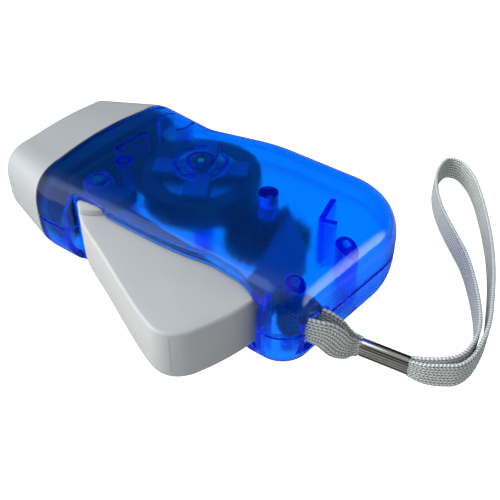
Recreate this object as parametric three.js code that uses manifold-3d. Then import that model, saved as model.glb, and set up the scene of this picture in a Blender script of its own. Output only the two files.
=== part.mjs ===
// Hand-press dynamo torch, lying flat with its squeeze lever standing open.
// Millimetres. X runs to the lens, Y to the lever side, Z up.
// The origin is on the flat underside, at mid length.
import * as THREE from 'three';
import { mergeVertices } from 'three/addons/utils/BufferGeometryUtils.js';
import Module from 'manifold-3d';

const wasm = await Module();
wasm.setup();

// Case
const caseHalfLength = 51.6;
const caseHalfWidth = 29.3;
const caseThickness = 25.5;
const caseWall = 1.8;
const partGap = 0.3;
const rollReach = 12;
const baseRollReach = 9;
const crownRise = 0.65;
const spineSide = -3.5;
const spineEnd = 25.8;
const spineSpan = 28;
const noseTaperStart = 34;
const noseTaperShare = 0.15;
const cutOverrun = 4;
const ribWall = 0.7;
const ribBase = 17.5;
const bossWall = 1.1;
const bossGap = 0.5;
const weldDistance = 1e-5;

// Nose cap, lens and reflector
const seamPlace = 35.6;
const seamBow = 2.9;
const lensThickness = 1.8;
const lensInset = 0.5;
const ledgeWidth = 1.5;
const ledgeDepth = 1;
const reflectorBack = 30.3;
const cupRadius = 4.7;
const cupStart = 34.5;
const cupBelly = 0.7;

// Squeeze lever and its slot
const pivotX = 20.8;
const pivotY = 13.2;
const leverReach = 58.4;
const leverOpenAngle = 19.5;
const leverThickness = 14.3;
const leverWall = 1.7;
const leverClearance = 0.5;
const jambLead = 1.1;
const jambRound = 3;
const jambWall = 1.8;
const jambDepth = 4.5;
const slotRunout = 1.2;
const jambSideShare = 0.857;
const jambRootShare = 0.635;
const windowSideShare = 0.56;
const skirtStartPoint = 3;
const skirtWall = 1.4;
const hubRadius = 4.2;
const knuckleRadius = 10.9;
const knuckleRise = 1.7;
const knuckleFromAngle = 106.5;
const knuckleToAngle = 200;
const reliefFromAngle = 88;
const leverTipRound = 4;
const tipSteps = 4;
const plateEdgeAngle = 176;
const knuckleMouthAngle = 10;
const pinRadius = 1.5;
const stripHeight = 6.9;
const stripBase = 9.6;
const stripOuterAngle = 196;
const stripInnerAngle = 214;
const stripRootAngle = 1;
const toothedLeadAngle = 2;
const springPegRadius = 1.2;
const springPegOffset = 12;
const springPegAngle = 129.5;

// Return spring
const springRadius = 5.25;
const springWire = 0.9;
const springPitch = 1.35;
const springBase = 8;
const springFootAngle = 290;
const springEndAngle = 1515;
const springRampAngle = 14;
const springLegLength = 11.4;
const springFootBase = 2.9;
const springStopHeight = 2;
const springStopAngle = 22;

// Gears
const gearModule = 0.8;
const addendum = 0.62;
const dedendum = 0.92;
const backlash = 0.3;
const pressureAngle = 20;
const rootSpread = 1.2;
const arcTeeth = 123;
const drivePinionTeeth = 10;
const ratchetGearTeeth = 28;
const idlerPinionTeeth = 9;
const idlerWheelTeeth = 22;
const rotorPinionTeeth = 8;
const driveAngle = 208.5;
const toothedFromAngle = 186;
const ratchetGearBase = 7.5;
const ratchetGearFace = 1.8;
const idlerWheelBase = 5.4;
const idlerWheelFace = 1.7;
const rotorPinionBase = 5;
const rotorPinionFace = 2.4;
const axleRadius = 1;
const boreClearance = 0.3;
const ratchetRecessRadius = 8.9;
const ratchetToothDepth = 0.8;
const ratchetTeeth = 14;
const ratchetRiseAngle = 1;
const webThickness = 0.6;
const pawlDiscRadius = 4.6;
const pawlTipRadius = 7.7;

// Dynamo
const rotorX = 4.4;
const rotorInset = 20.2;
const bridgeThickness = 1.1;
const bridgeRadius = 12.5;
const bridgeEarRadius = 2.6;
const bridgeArmWidth = 5.6;
const flywheelRadius = 16.5;
const flywheelBase = 12.4;
const flywheelHeight = 7.2;
const flywheelWall = 2;
const flywheelFlange = 1;
const flangeBore = 11.8;
const magnetWall = 2.2;
const spiderThickness = 1.5;
const spiderArmWidth = 6.4;
const spiderArmReach = 13;
const spiderArmCount = 4;
const spiderTurnAngle = 32;
const spiderHubRadius = 4.6;
const yokeRadius = 11.2;
const yokeThickness = 0.9;
const clawCount = 6;
const clawSpanAngle = 22;
const bobbinHeight = 5.6;
const bobbinRadius = 9.4;
const bobbinCore = 4;
const bobbinWall = 0.8;
const sleeveRadius = 1.9;
const bushRadius = 2.6;
const bushHeight = 1.8;
const snapRingRadius = 7.6;
const snapRingWall = 0.9;

// Posts and screws
const postRadius = 2.6;
const thinPostRadius = 2.2;
const footPostRadius = 2.8;
const postMeeting = 6.4;
const screwShankRadius = 0.9;
const screwHeadRadius = 1.9;
const screwHeadHeight = 0.9;
const screwLength = 8.1;
const screwSeat = 2.4;
const bridgeScrewLength = 5;
const axleFoot = 2.3;
const driveBossDepth = 2.5;
const frontPostDrop = 9.5;
const pegRadius = 0.9;

// Electrics
const boardPlace = 27.2;
const boardThickness = 1.2;
const boardBase = 3.2;
const boardTop = 22;
const boardInset = 12.3;
const boardCellGap = 1.2;
const railHeight = 3.2;
const railHalfLength = 8;
const ledRadius = 2.5;
const ledFlange = 0.3;
const ledFlangeDepth = 0.9;
const ledLength = 5.4;
const ledSpacing = 10.2;
const ledMiddle = 0.6;
const cellLead = 3.3;
const cellInset = 8.9;
const cellRadius = 4.2;
const cellHeight = 5.2;
const cellCount = 3;
const cellBase = 3.6;
const cellGroove = 0.3;
const cellHolderDepth = 3;
const capacitorRadius = 2.2;
const capacitorLength = 4.8;
const capacitorCellGap = 1.2;
const capacitorZ = 6.6;
const rectifierDepth = 2.6;
const rectifierWidth = 5;
const rectifierHeight = 4.4;
const rectifierBase = 5.8;
const rectifierY = -2;
const wireRadius = 0.5;

// Wrist strap
const tapeWidth = 7.4;
const tapeThickness = 1.1;
const tapeEdge = 0.25;
const strapSlotBase = 7;
const strapSlotTop = 17.2;
const pinchReach = 6;
const ferruleThickness = 2.8;
const ferruleWidth = 5.2;
const ferruleEdge = 0.6;
const ferruleGroove = 0.4;
const ferruleGrooveCount = 3;

// Facets
const facetAngle = 16;
const arcSteps = 5;
const roundSteps = 20;
const wheelSteps = 40;
const smallSteps = 8;
const tieSteps = 36;
const loopSteps = 64;
const leadSteps = 12;
const wallSteps = 6;
const domeSteps = 3;
const springSides = 5;
const springEndSteps = 10;
const leadSides = 6;

const degree = Math.PI / 180;
const partingHeight = caseThickness / 2;
const leverBase = partingHeight - leverThickness / 2;
const leverTop = partingHeight + leverThickness / 2;
const knuckleBase = leverBase - knuckleRise;
const knuckleTop = leverTop + knuckleRise;
const pivot = [pivotX, pivotY];
const rotor = [rotorX, -(caseHalfWidth - rotorInset)];
const cellPlace = [boardPlace - cellLead, -(caseHalfWidth - cellInset)];
const cellSide = cellPlace[1] + cellRadius;
const boardLeft = caseHalfWidth - boardInset;
const boardRight = cellSide + boardCellGap;
const capacitorY = cellSide + capacitorCellGap + capacitorRadius;
const far = caseHalfLength * 2;
const full = caseThickness + cutOverrun;

// Closed solids

function toSolid(geometry) {
  const bare = geometry.clone();
  for (const key of Object.keys(bare.attributes)) {
    if (key !== 'position') bare.deleteAttribute(key);
  }
  const merged = mergeVertices(bare, weldDistance);
  return new wasm.Manifold(new wasm.Mesh({
    numProp: 3,
    vertProperties: new Float32Array(merged.attributes.position.array),
    triVerts: new Uint32Array(merged.index.array),
  }));
}

function prism(points, low, high) {
  const shape = new THREE.Shape(points.map(([x, y]) => new THREE.Vector2(x, y)));
  const geometry = new THREE.ExtrudeGeometry(shape, { depth: high - low, bevelEnabled: false });
  geometry.translate(0, 0, low);
  return toSolid(geometry);
}

function disc([x, y], radius, low, high, steps = roundSteps) {
  const geometry = new THREE.CylinderGeometry(radius, radius, high - low, steps);
  geometry.rotateX(Math.PI / 2);
  geometry.translate(x, y, (low + high) / 2);
  return toSolid(geometry);
}

function ring(place, outer, inner, low, high, steps = roundSteps) {
  return disc(place, outer, low, high, steps).subtract(
    disc(place, inner, low - cutOverrun, high + cutOverrun, steps));
}

function block(low, high) {
  const size = high.map((v, i) => v - low[i]);
  const geometry = new THREE.BoxGeometry(...size);
  geometry.translate(...low.map((v, i) => v + size[i] / 2));
  return toSolid(geometry);
}

// A turned piece from its half section [radius, height], stood at a place
function lathed(profile, [x, y], steps = roundSteps) {
  const geometry = new THREE.LatheGeometry(profile.map(([r, h]) => new THREE.Vector2(r, h)), steps);
  geometry.rotateX(Math.PI / 2);
  geometry.translate(x, y, 0);
  return toSolid(geometry);
}

function polar([x, y], radius, angle) {
  return [x + radius * Math.cos(angle * degree), y + radius * Math.sin(angle * degree)];
}

function arc(centre, radius, from, to, steps = arcSteps) {
  const points = [];
  for (let i = 0; i <= steps; i += 1) {
    points.push(polar(centre, radius, from + (to - from) * i / steps));
  }
  return points;
}

function bearing([ax, ay], [bx, by]) {
  return Math.atan2(by - ay, bx - ax) / degree;
}

// A closed outline from corners [x, y, radius], each rounded by an arc
function rounded(corners) {
  const points = [];
  corners.forEach(([x, y, radius], i) => {
    const [px, py] = corners[(i + corners.length - 1) % corners.length];
    const [nx, ny] = corners[(i + 1) % corners.length];
    if (!radius) {
      points.push([x, y]);
      return;
    }
    const back = new THREE.Vector2(px - x, py - y).normalize();
    const ahead = new THREE.Vector2(nx - x, ny - y).normalize();
    const half = Math.acos(back.dot(ahead)) / 2;
    const reach = radius / Math.tan(half);
    const start = [x + back.x * reach, y + back.y * reach];
    const end = [x + ahead.x * reach, y + ahead.y * reach];
    const middle = back.clone().add(ahead).normalize().multiplyScalar(radius / Math.sin(half));
    const centre = [x + middle.x, y + middle.y];
    const from = bearing(centre, start);
    let to = bearing(centre, end);
    if (to - from > 180) to -= 360;
    if (from - to > 180) to += 360;
    const steps = Math.max(1, Math.round(Math.abs(to - from) / facetAngle));
    points.push(...arc(centre, radius, from, to, steps));
  });
  return points;
}

// The outline moved inwards along its normals; the points run anticlockwise
function inset(points, distance) {
  return points.map(([x, y], i) => {
    const [px, py] = points[(i + points.length - 1) % points.length];
    const [nx, ny] = points[(i + 1) % points.length];
    const before = new THREE.Vector2(py - y, x - px).normalize();
    const after = new THREE.Vector2(y - ny, nx - x).normalize();
    const normal = before.clone().add(after).normalize();
    const shift = distance / normal.dot(after);
    return [x + normal.x * shift, y + normal.y * shift];
  });
}

// A straight wall between two places
function wallBetween([ax, ay], [bx, by], wall, low, high) {
  const ahead = new THREE.Vector2(bx - ax, by - ay).normalize().multiplyScalar(wall / 2);
  return prism([[ax - ahead.y, ay + ahead.x], [bx - ahead.y, by + ahead.x],
    [bx + ahead.y, by - ahead.x], [ax + ahead.y, ay - ahead.x]], low, high);
}

function sector(place, radius, from, to, low, high) {
  return prism([place, ...arc(place, radius, from, to, roundSteps / 2)], low, high);
}

// Curved walls round a place, one for each [from, to] in degrees
function curvedWalls(place, inner, wall, spans, low, high) {
  return spans.map(([from, to]) => prism([
    ...arc(place, inner + wall, from, to, wallSteps),
    ...arc(place, inner, to, from, wallSteps),
  ], low, high));
}

// A round wire along a smooth curve
function wireAlong(points, radius, sides, steps) {
  const curve = new THREE.CatmullRomCurve3(points.map((p) => new THREE.Vector3(...p)), false, 'centripetal');
  const section = arc([0, 0], radius, 0, 360 - 360 / sides, sides - 1);
  const shape = new THREE.Shape(section.map(([x, y]) => new THREE.Vector2(x, y)));
  return toSolid(new THREE.ExtrudeGeometry(shape, { steps, extrudePath: curve, bevelEnabled: false }));
}

// Case body

const outlineShares = [
  [1.24, 0.573, 0],
  [0.64, 0.867, 0.7],
  [-0.934, 0.778, 0.273],
  [-1.027, -1.14, 0.648],
  [-0.116, -1.133, 1.2],
  [0.262, -0.928, 0.35],
  [0.649, -1, 0.35],
  [1.24, -0.512, 0],
];
const caseOutline = rounded(outlineShares.map(([x, y, r]) => [
  x * caseHalfLength, y * caseHalfWidth, r * caseHalfWidth]));

// Rings of the rounded body: [how far they draw in, height over the parting line]
const rollShares = [0.03, 0.11, 0.24, 0.43, 0.7, 1];
const crownShares = [[1.5, 0.6], [2.05, 1]];

function rollRings(reach, height) {
  return rollShares.map((q) => [q * reach, height * Math.cbrt(1 - (1 - q) ** 3)]);
}

function crowned(rings, reach, height) {
  return [...rings, ...crownShares.map(([q, rise]) => [q * reach, height + rise * crownRise])];
}

// A body whose rings draw in from the outline towards its spine
function pillow(outline, above, below) {
  const levels = [...below.map(([d, h]) => [d, -h]).reverse(), [0, 0], ...above];
  const rings = levels.map(([distance, height]) => outline.map(([x, y]) => {
    const share = distance / spineSpan;
    const targetX = Math.max(x, -spineEnd);
    return [x + (targetX - x) * share, y + (spineSide - y) * share, partingHeight + height];
  }));
  const n = outline.length;
  const index = [];
  for (let k = 0; k < rings.length - 1; k += 1) {
    for (let i = 0; i < n; i += 1) {
      const j = (i + 1) % n;
      index.push(k * n + i, k * n + j, (k + 1) * n + j);
      index.push(k * n + i, (k + 1) * n + j, (k + 1) * n + i);
    }
  }
  for (const [level, upward] of [[0, false], [rings.length - 1, true]]) {
    const flat = rings[level].map(([x, y]) => new THREE.Vector2(x, y));
    for (const [a, b, c] of THREE.ShapeUtils.triangulateShape(flat, [])) {
      const order = upward ? [a, b, c] : [a, c, b];
      index.push(...order.map((v) => level * n + v));
    }
  }
  const geometry = new THREE.BufferGeometry();
  geometry.setAttribute('position', new THREE.Float32BufferAttribute(rings.flat(2), 3));
  geometry.setIndex(index);
  return toSolid(geometry);
}

// The nose part, thinned towards the front about the parting plane
function tapered(solid) {
  const mesh = solid.getMesh();
  const positions = new Float32Array(mesh.vertProperties);
  for (let i = 0; i < positions.length; i += 3) {
    const ahead = (positions[i] - noseTaperStart) / (caseHalfLength - noseTaperStart);
    positions[i + 2] = partingHeight + (positions[i + 2] - partingHeight) * (1 - noseTaperShare * ahead);
  }
  return new wasm.Manifold(new wasm.Mesh({
    numProp: 3, vertProperties: positions, triVerts: new Uint32Array(mesh.triVerts) }));
}

// The case form drawn in by a distance all round
function caseForm(distance) {
  const outline = distance ? inset(caseOutline, distance) : caseOutline;
  const reach = rollReach - distance / 2;
  const rise = partingHeight - crownRise - distance;
  const body = pillow(outline, crowned(rollRings(reach, rise), reach, rise),
    rollRings(baseRollReach - distance / 2, partingHeight - distance));
  const rear = body.intersect(block([-far, -far, -far], [noseTaperStart, far, far]));
  const nose = body.intersect(block([noseTaperStart, -far, -far], [far, far, far]));
  return rear.add(tapered(nose));
}

const outerForm = caseForm(0).intersect(block([-far, -far, -far], [caseHalfLength, far, far]));
const innerForm = caseForm(caseWall);
const looseForm = caseForm(caseWall + partGap);
const upperHalf = block([-far, -far, partingHeight + partGap / 2], [far, far, far]);
const lowerHalf = block([-far, -far, -far], [far, far, partingHeight - partGap / 2]);

// The region in front of the nose seam, which bows forward at mid width
function noseZone(shift) {
  const seam = [];
  for (let i = 0; i <= roundSteps; i += 1) {
    const y = (1 - i / roundSteps * 2) * (caseHalfWidth + cutOverrun);
    seam.push([seamPlace + shift - seamBow * (y / caseHalfWidth) ** 2, y]);
  }
  const side = caseHalfWidth + cutOverrun;
  return prism([...seam, [far, -side], [far, side]], -cutOverrun, full);
}

// The lever slot: where the shells end beside the lever, from the front jamb to the rear one
const slotTop = leverTop + leverClearance;
const slotBottom = leverBase - leverClearance;
const frontJamb = pivotX + jambLead;
const rearJamb = pivotX - leverReach - slotRunout;
const lipShares = [
  [-0.019, 0.737], [0.055, 0.71], [0.111, 0.7], [0.176, 0.713], [0.298, 0.713], [0.471, 0.703],
  [0.615, 0.679], [0.729, 0.642], [0.82, 0.648], [0.887, 0.659], [0.945, 0.7], [0.991, 0.744],
  [1.0205, 0.761],
];
const lipLine = lipShares.map(([x, y]) => [pivotX - x * leverReach, y * caseHalfWidth]);
const jambSide = jambSideShare * caseHalfWidth;
const jambRoot = jambRootShare * caseHalfWidth;
const windowSide = windowSideShare * caseHalfWidth;

function slotCut() {
  const outside = caseHalfWidth + cutOverrun;
  const corner = [frontJamb + jambRound, jambSide - jambRound];
  return prism([
    [rearJamb, outside],
    ...lipLine.slice().reverse(),
    ...arc(corner, jambRound, 180, 90),
    [corner[0], outside],
  ], -cutOverrun, full);
}

// The wall under the lip, from behind the knuckle to the rear jamb
function skirt(low, high) {
  const line = lipLine.slice(skirtStartPoint);
  const inner = line.map(([x, y]) => [x, y - skirtWall]);
  return prism([...line, ...inner.reverse()], low, high);
}

function jambWalls() {
  const front = block([frontJamb, jambSide - jambDepth, -cutOverrun],
    [frontJamb + jambWall, caseHalfWidth, full]);
  const rear = block([rearJamb - skirtWall, jambRoot, -cutOverrun], [rearJamb, caseHalfWidth, full]);
  return front.add(rear).intersect(outerForm);
}

// Where the raised knuckle of the lever turns under the roof and over the floor
function knuckleRelief() {
  return sector(pivot, knuckleRadius + leverClearance, reliefFromAngle, knuckleToAngle + leverOpenAngle,
    knuckleBase - bossGap, knuckleTop + bossGap);
}

// The window that the lever swings through
function windowCut() {
  return block([rearJamb, windowSide, slotBottom], [frontJamb, far, slotTop]);
}

function hung(place, radius, low, steps = smallSteps) {
  return disc(place, radius, low, full, steps).intersect(outerForm);
}

function stood(place, radius, high, steps = smallSteps) {
  return disc(place, radius, -cutOverrun, high, steps).intersect(outerForm);
}

// Gear centres: the drive axle on the lever's toothed arc, the idler between it and the rotor
const pitchOf = (teeth) => teeth * gearModule / 2;

function meeting([ax, ay], ra, [bx, by], rb) {
  const span = Math.hypot(bx - ax, by - ay);
  const along = (ra * ra - rb * rb + span * span) / (2 * span);
  const off = Math.sqrt(ra * ra - along * along);
  const ux = (bx - ax) / span;
  const uy = (by - ay) / span;
  return [ax + along * ux + off * uy, ay + along * uy - off * ux];
}

const drive = polar(pivot, pitchOf(arcTeeth) - pitchOf(drivePinionTeeth), driveAngle);
const idler = meeting(drive, pitchOf(ratchetGearTeeth) + pitchOf(idlerPinionTeeth),
  rotor, pitchOf(idlerWheelTeeth) + pitchOf(rotorPinionTeeth));

// Levels of the train and the dynamo, from the floor up
const ratchetGearTop = ratchetGearBase + ratchetGearFace;
const pawlBase = ratchetGearBase + webThickness + partGap;
const drivePinionBase = ratchetGearTop + partGap;
const drivePinionTop = stripBase + stripHeight + partGap / 2;
const bridgeBase = ratchetGearTop + partGap;
const bridgeTop = bridgeBase + bridgeThickness;
const bridgeScrewTop = bridgeTop + partGap + screwHeadHeight;
const lowerYokeBase = bridgeTop + partGap;
const bobbinBase = lowerYokeBase + yokeThickness + partGap;
const bobbinTop = bobbinBase + bobbinHeight;
const upperYokeBase = bobbinTop + partGap;
const upperYokeTop = upperYokeBase + yokeThickness;
const flywheelTop = flywheelBase + flywheelHeight;
const spiderBase = flywheelTop + partGap;
const spiderTop = spiderBase + spiderThickness;
const bushBase = spiderTop + bossGap;
const bushTop = bushBase + bushHeight;
const pinTop = knuckleTop + bossGap + bossWall;
const axleHole = axleRadius + boreClearance;
const pinHole = pinRadius + boreClearance;
const screwHole = screwShankRadius + boreClearance;
const sleeveHole = sleeveRadius + boreClearance;
const driveAxleTop = drivePinionTop + driveBossDepth;
const rotorAxleTop = bushTop;
const screwBottom = screwSeat - partGap - screwHeadHeight;
const screwTop = screwBottom + screwHeadHeight + screwLength;

// Posts that the case screws join: the upper ones hang, the lower ones stand
const rearPostShares = [-0.8721, -0.1468];
const strapPostShares = [-0.8295, 0.471];
const inCase = ([x, y]) => [x * caseHalfLength, y * caseHalfWidth];
const frontPost = [pivotX, pivotY - frontPostDrop];
const casePosts = [
  [inCase(rearPostShares), postRadius],
  [inCase(strapPostShares), thinPostRadius],
  [frontPost, thinPostRadius],
];
const strapSlotShares = [[-0.83, 0.345], [-0.83, 0.6], [-1.04, 0.573], [-1.04, 0.27]];
const strapSlot = strapSlotShares.map(inCase);

// Posts under the bridge plate, [share of the flywheel's radius, angle]: two take screws, the last has a peg
const bridgePostShares = [[1.067, -50], [1.133, 5], [0.685, 131]];
const bridgePosts = bridgePostShares.map(([share, angle]) => polar(rotor, share * flywheelRadius, angle));
const screwPosts = bridgePosts.slice(0, -1);
const pegPost = bridgePosts[bridgePosts.length - 1];

// Shells

function shellWalls() {
  return outerForm.subtract(innerForm).subtract(noseZone(-partGap / 2));
}

const ribShares = [
  [[-0.647, -0.57], [-0.692, -0.259]],
  [[-0.692, -0.259], [-0.762, -0.311]],
];
const railShares = [0.034, -0.324];
const snapSpans = [[-62, 22], [42, 118], [150, 262]];
const holderSpans = [[-45, 45], [135, 225]];

function roofRibs() {
  const parts = ribShares.map((line) => {
    const [from, to] = line.map(inCase);
    return wallBetween(from, to, ribWall, ribBase, full);
  });
  const railX = boardPlace - partGap - ribWall / 2;
  const [railFrom, railTo] = railShares.map((y) => y * caseHalfWidth);
  parts.push(wallBetween([railX, railFrom], [railX, railTo], ribWall, ribBase, full));
  for (const y of [railFrom, railTo]) {
    parts.push(wallBetween([railX, y], [railX - 2 * ribWall, y], ribWall, ribBase, full));
  }
  parts.push(...curvedWalls(rotor, snapRingRadius - snapRingWall, snapRingWall, snapSpans, bushBase, full));
  parts.push(...curvedWalls(cellPlace, cellRadius + partGap, ribWall, holderSpans, ribBase, full));
  return parts.map((part) => part.intersect(outerForm));
}

function upperShell() {
  let shell = shellWalls().add(jambWalls()).add(skirt(slotTop, full).intersect(outerForm));
  shell = shell.subtract(noseZone(-partGap / 2)).intersect(upperHalf);
  shell = shell.subtract(windowCut()).subtract(prism(strapSlot, strapSlotBase, strapSlotTop));
  shell = shell.add(hung(pivot, pinHole + skirtWall, knuckleTop + bossGap, roundSteps));
  shell = shell.add(hung(rotor, bushRadius + boreClearance + bossWall, bushBase, roundSteps));
  shell = shell.add(hung(drive, postRadius, drivePinionTop + partGap));
  for (const [place, radius] of casePosts) {
    shell = shell.add(hung(place, radius, postMeeting + partGap));
  }
  for (const rib of roofRibs()) {
    shell = shell.add(rib);
  }
  shell = shell.subtract(slotCut()).subtract(knuckleRelief());
  shell = shell.subtract(disc(pivot, pinHole, 0, pinTop + partGap, smallSteps));
  shell = shell.subtract(disc(rotor, bushRadius + boreClearance, 0, bushTop + partGap));
  shell = shell.subtract(disc(drive, axleHole, 0, driveAxleTop + partGap, smallSteps));
  for (const [place] of casePosts) {
    shell = shell.subtract(disc(place, screwHole, 0, screwTop + partGap, smallSteps));
  }
  return shell;
}

function boardRails() {
  const back = boardPlace - partGap;
  const front = boardPlace + boardThickness + partGap;
  const top = caseWall + railHeight;
  return [[back - ribWall, back], [front, front + ribWall]].map(([from, to]) => block(
    [from, -railHalfLength, -cutOverrun], [to, railHalfLength, top]).intersect(outerForm));
}

function lowerShell() {
  let shell = shellWalls().add(jambWalls());
  shell = shell.add(skirt(-cutOverrun, slotBottom).intersect(outerForm));
  shell = shell.subtract(noseZone(-partGap / 2)).intersect(lowerHalf);
  shell = shell.subtract(windowCut()).subtract(prism(strapSlot, strapSlotBase, strapSlotTop));
  shell = shell.add(stood(pivot, pinHole + skirtWall, knuckleBase - bossGap, roundSteps));
  shell = shell.add(stood(drive, postRadius, ratchetGearBase - partGap));
  shell = shell.add(stood(idler, postRadius, idlerWheelBase - partGap));
  shell = shell.add(stood(rotor, postRadius, rotorPinionBase - partGap));
  for (const [place] of casePosts) {
    shell = shell.add(stood(place, footPostRadius, postMeeting));
  }
  for (const place of screwPosts) {
    shell = shell.add(stood(place, postRadius, bridgeBase - partGap));
  }
  shell = shell.add(stood(pegPost, postRadius, bridgeBase - partGap));
  shell = shell.add(stood(pegPost, pegRadius, bridgeTop));
  for (const rail of boardRails()) {
    shell = shell.add(rail);
  }
  const holder = curvedWalls(cellPlace, cellRadius + partGap, ribWall, holderSpans, -cutOverrun,
    cellBase + cellHolderDepth);
  holder.push(disc(cellPlace, cellRadius / 2, -cutOverrun, cellBase - partGap, smallSteps));
  for (const part of holder) {
    shell = shell.add(part.intersect(outerForm));
  }
  const stopPlace = polar(pivot, springRadius, springFootAngle + leverOpenAngle + springStopAngle);
  shell = shell.add(stood(stopPlace, springWire, springFootBase + springStopHeight));
  shell = shell.subtract(slotCut()).subtract(knuckleRelief());
  shell = shell.subtract(disc(pivot, pinHole, axleFoot - partGap, full, smallSteps));
  for (const place of [drive, idler, rotor]) {
    shell = shell.subtract(disc(place, axleHole, axleFoot - partGap, full, smallSteps));
  }
  for (const [place] of casePosts) {
    shell = shell.subtract(disc(place, screwHole, -cutOverrun, full, smallSteps));
    shell = shell.subtract(disc(place, screwHeadRadius + boreClearance, -cutOverrun, screwSeat, smallSteps));
  }
  for (const place of screwPosts) {
    shell = shell.subtract(disc(place, screwHole, bridgeTop - bridgeScrewLength, full, smallSteps));
  }
  return shell;
}

// Nose

const lensFront = caseHalfLength - lensInset;
const lensBack = lensFront - lensThickness;
const ledgeFront = lensBack - partGap;
const ledgeBack = ledgeFront - ledgeDepth;
const reflectorFront = ledgeBack - partGap;

function slab(from, to) {
  return block([from, -far, -far], [to, far, far]);
}

function noseCap() {
  const ledge = slab(ledgeBack, ledgeFront).intersect(outerForm).subtract(caseForm(caseWall + ledgeWidth));
  return outerForm.subtract(innerForm).add(ledge).intersect(noseZone(partGap / 2));
}

function lens() {
  return looseForm.intersect(slab(lensBack, lensFront));
}

const ledPlaces = [-1, 0, 1].map((k) => ledMiddle + k * ledSpacing);
const ledBase = boardPlace + boardThickness + partGap;

// Turned about an axis along X at height and side
function alongX(profile, from, side, height, steps) {
  const geometry = new THREE.LatheGeometry(profile.map(([r, h]) => new THREE.Vector2(r, h)), steps);
  geometry.rotateZ(-Math.PI / 2);
  geometry.translate(from, side, height);
  return toSolid(geometry);
}

function reflector() {
  let body = looseForm.intersect(slab(reflectorBack, reflectorFront));
  const bore = ledRadius + partGap;
  const [start, end] = [cupStart - reflectorBack, reflectorFront - reflectorBack];
  const flare = bore + (cupRadius - bore) * cupBelly;
  const cup = [[0, -cutOverrun], [bore, -cutOverrun], [bore, start], [flare, (start + end) / 2],
    [cupRadius, end + cutOverrun], [0, end + cutOverrun]];
  for (const side of ledPlaces) {
    body = body.subtract(alongX(cup, reflectorBack, side, partingHeight, roundSteps));
  }
  return body;
}

function led(side) {
  const dome = [];
  for (let i = 0; i <= domeSteps; i += 1) {
    const angle = i / domeSteps * Math.PI / 2;
    dome.push([ledRadius * Math.cos(angle), ledLength - ledRadius + ledRadius * Math.sin(angle)]);
  }
  dome[dome.length - 1][0] = 0;
  const flange = ledRadius + ledFlange;
  const profile = [[0, 0], [flange, 0], [flange, ledFlangeDepth], [ledRadius, ledFlangeDepth], ...dome];
  return alongX(profile, ledBase, side, partingHeight, smallSteps);
}

// Electrics

function ledBoard() {
  return block([boardPlace, boardRight, boardBase], [boardPlace + boardThickness, boardLeft, boardTop]);
}

function rectifier() {
  const front = boardPlace - partGap;
  return block([front - rectifierDepth, rectifierY, rectifierBase],
    [front, rectifierY + rectifierWidth, rectifierBase + rectifierHeight]);
}

function capacitor() {
  const profile = [[0, 0], [capacitorRadius, 0], [capacitorRadius, capacitorLength], [0, capacitorLength]];
  return alongX(profile, boardPlace - partGap - capacitorLength, capacitorY, capacitorZ, smallSteps);
}

function cellStack() {
  const profile = [[0, 0]];
  for (let i = 0; i < cellCount; i += 1) {
    const low = i * cellHeight;
    profile.push([cellRadius - cellGroove, low], [cellRadius, low + cellGroove]);
    profile.push([cellRadius, low + cellHeight - cellGroove], [cellRadius - cellGroove, low + cellHeight]);
  }
  profile.push([0, cellCount * cellHeight]);
  return lathed(dedupe(profile).map(([r, h]) => [r, h + cellBase]), cellPlace, roundSteps);
}

function dedupe(points) {
  return points.filter(([x, y], i) => !i || x !== points[i - 1][0] || y !== points[i - 1][1]);
}

// The leads from the underside of the bridge plate to the board
const leadRoutes = [
  [[12.4, -7.6, 9.1], [12.9, -7.2, 8], [16.2, -5.2, 7], [21.6, -3.7, 6.6], [26.7, -3.4, 6.5]],
  [[12, -4.6, 9.1], [12.6, -4.4, 8.3], [16, -3.4, 8.2], [21.6, -3.4, 8.1], [26.7, -3.4, 8.1]],
];

// Dynamo

function bridgePlate() {
  let plate = disc(rotor, bridgeRadius, bridgeBase, bridgeTop);
  for (const place of [...screwPosts, pegPost]) {
    plate = plate.add(disc(place, bridgeEarRadius, bridgeBase, bridgeTop, smallSteps));
    plate = plate.add(wallBetween(rotor, place, bridgeEarRadius * 2, bridgeBase, bridgeTop));
  }
  plate = plate.add(disc(idler, bridgeArmWidth / 2, bridgeBase, bridgeTop, smallSteps));
  plate = plate.add(wallBetween(rotor, idler, bridgeArmWidth, bridgeBase, bridgeTop));
  const holes = [...screwPosts.map((place) => [place, screwHole]), [pegPost, pegRadius + boreClearance],
    [idler, axleHole], [rotor, sleeveHole]];
  for (const [place, radius] of holes) {
    plate = plate.subtract(disc(place, radius, 0, full, smallSteps));
  }
  return plate;
}

// A screw from its head's outer face along its shank, upwards or downwards
function screw(place, headFace, length, upwards) {
  const tip = screwHeadHeight + length;
  const profile = [[0, 0], [screwHeadRadius, 0], [screwHeadRadius, screwHeadHeight],
    [screwShankRadius, screwHeadHeight], [screwShankRadius, tip - screwShankRadius], [0, tip]];
  const turned = upwards ? profile : profile.map(([r, h]) => [r, -h]).reverse();
  return lathed(turned.map(([r, h]) => [r, headFace + h]), place, smallSteps);
}

function yoke(plateBase, clawLow, clawHigh, turn) {
  let part = disc(rotor, yokeRadius, plateBase, plateBase + yokeThickness);
  const spans = Array.from({ length: clawCount }, (_, i) => {
    const middle = turn + i * 360 / clawCount;
    return [middle - clawSpanAngle / 2, middle + clawSpanAngle / 2];
  });
  const claws = curvedWalls(rotor, yokeRadius - yokeThickness, yokeThickness, spans, clawLow, clawHigh);
  for (const claw of claws) {
    part = part.add(claw);
  }
  return part.subtract(disc(rotor, sleeveHole, 0, full, smallSteps));
}

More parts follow.
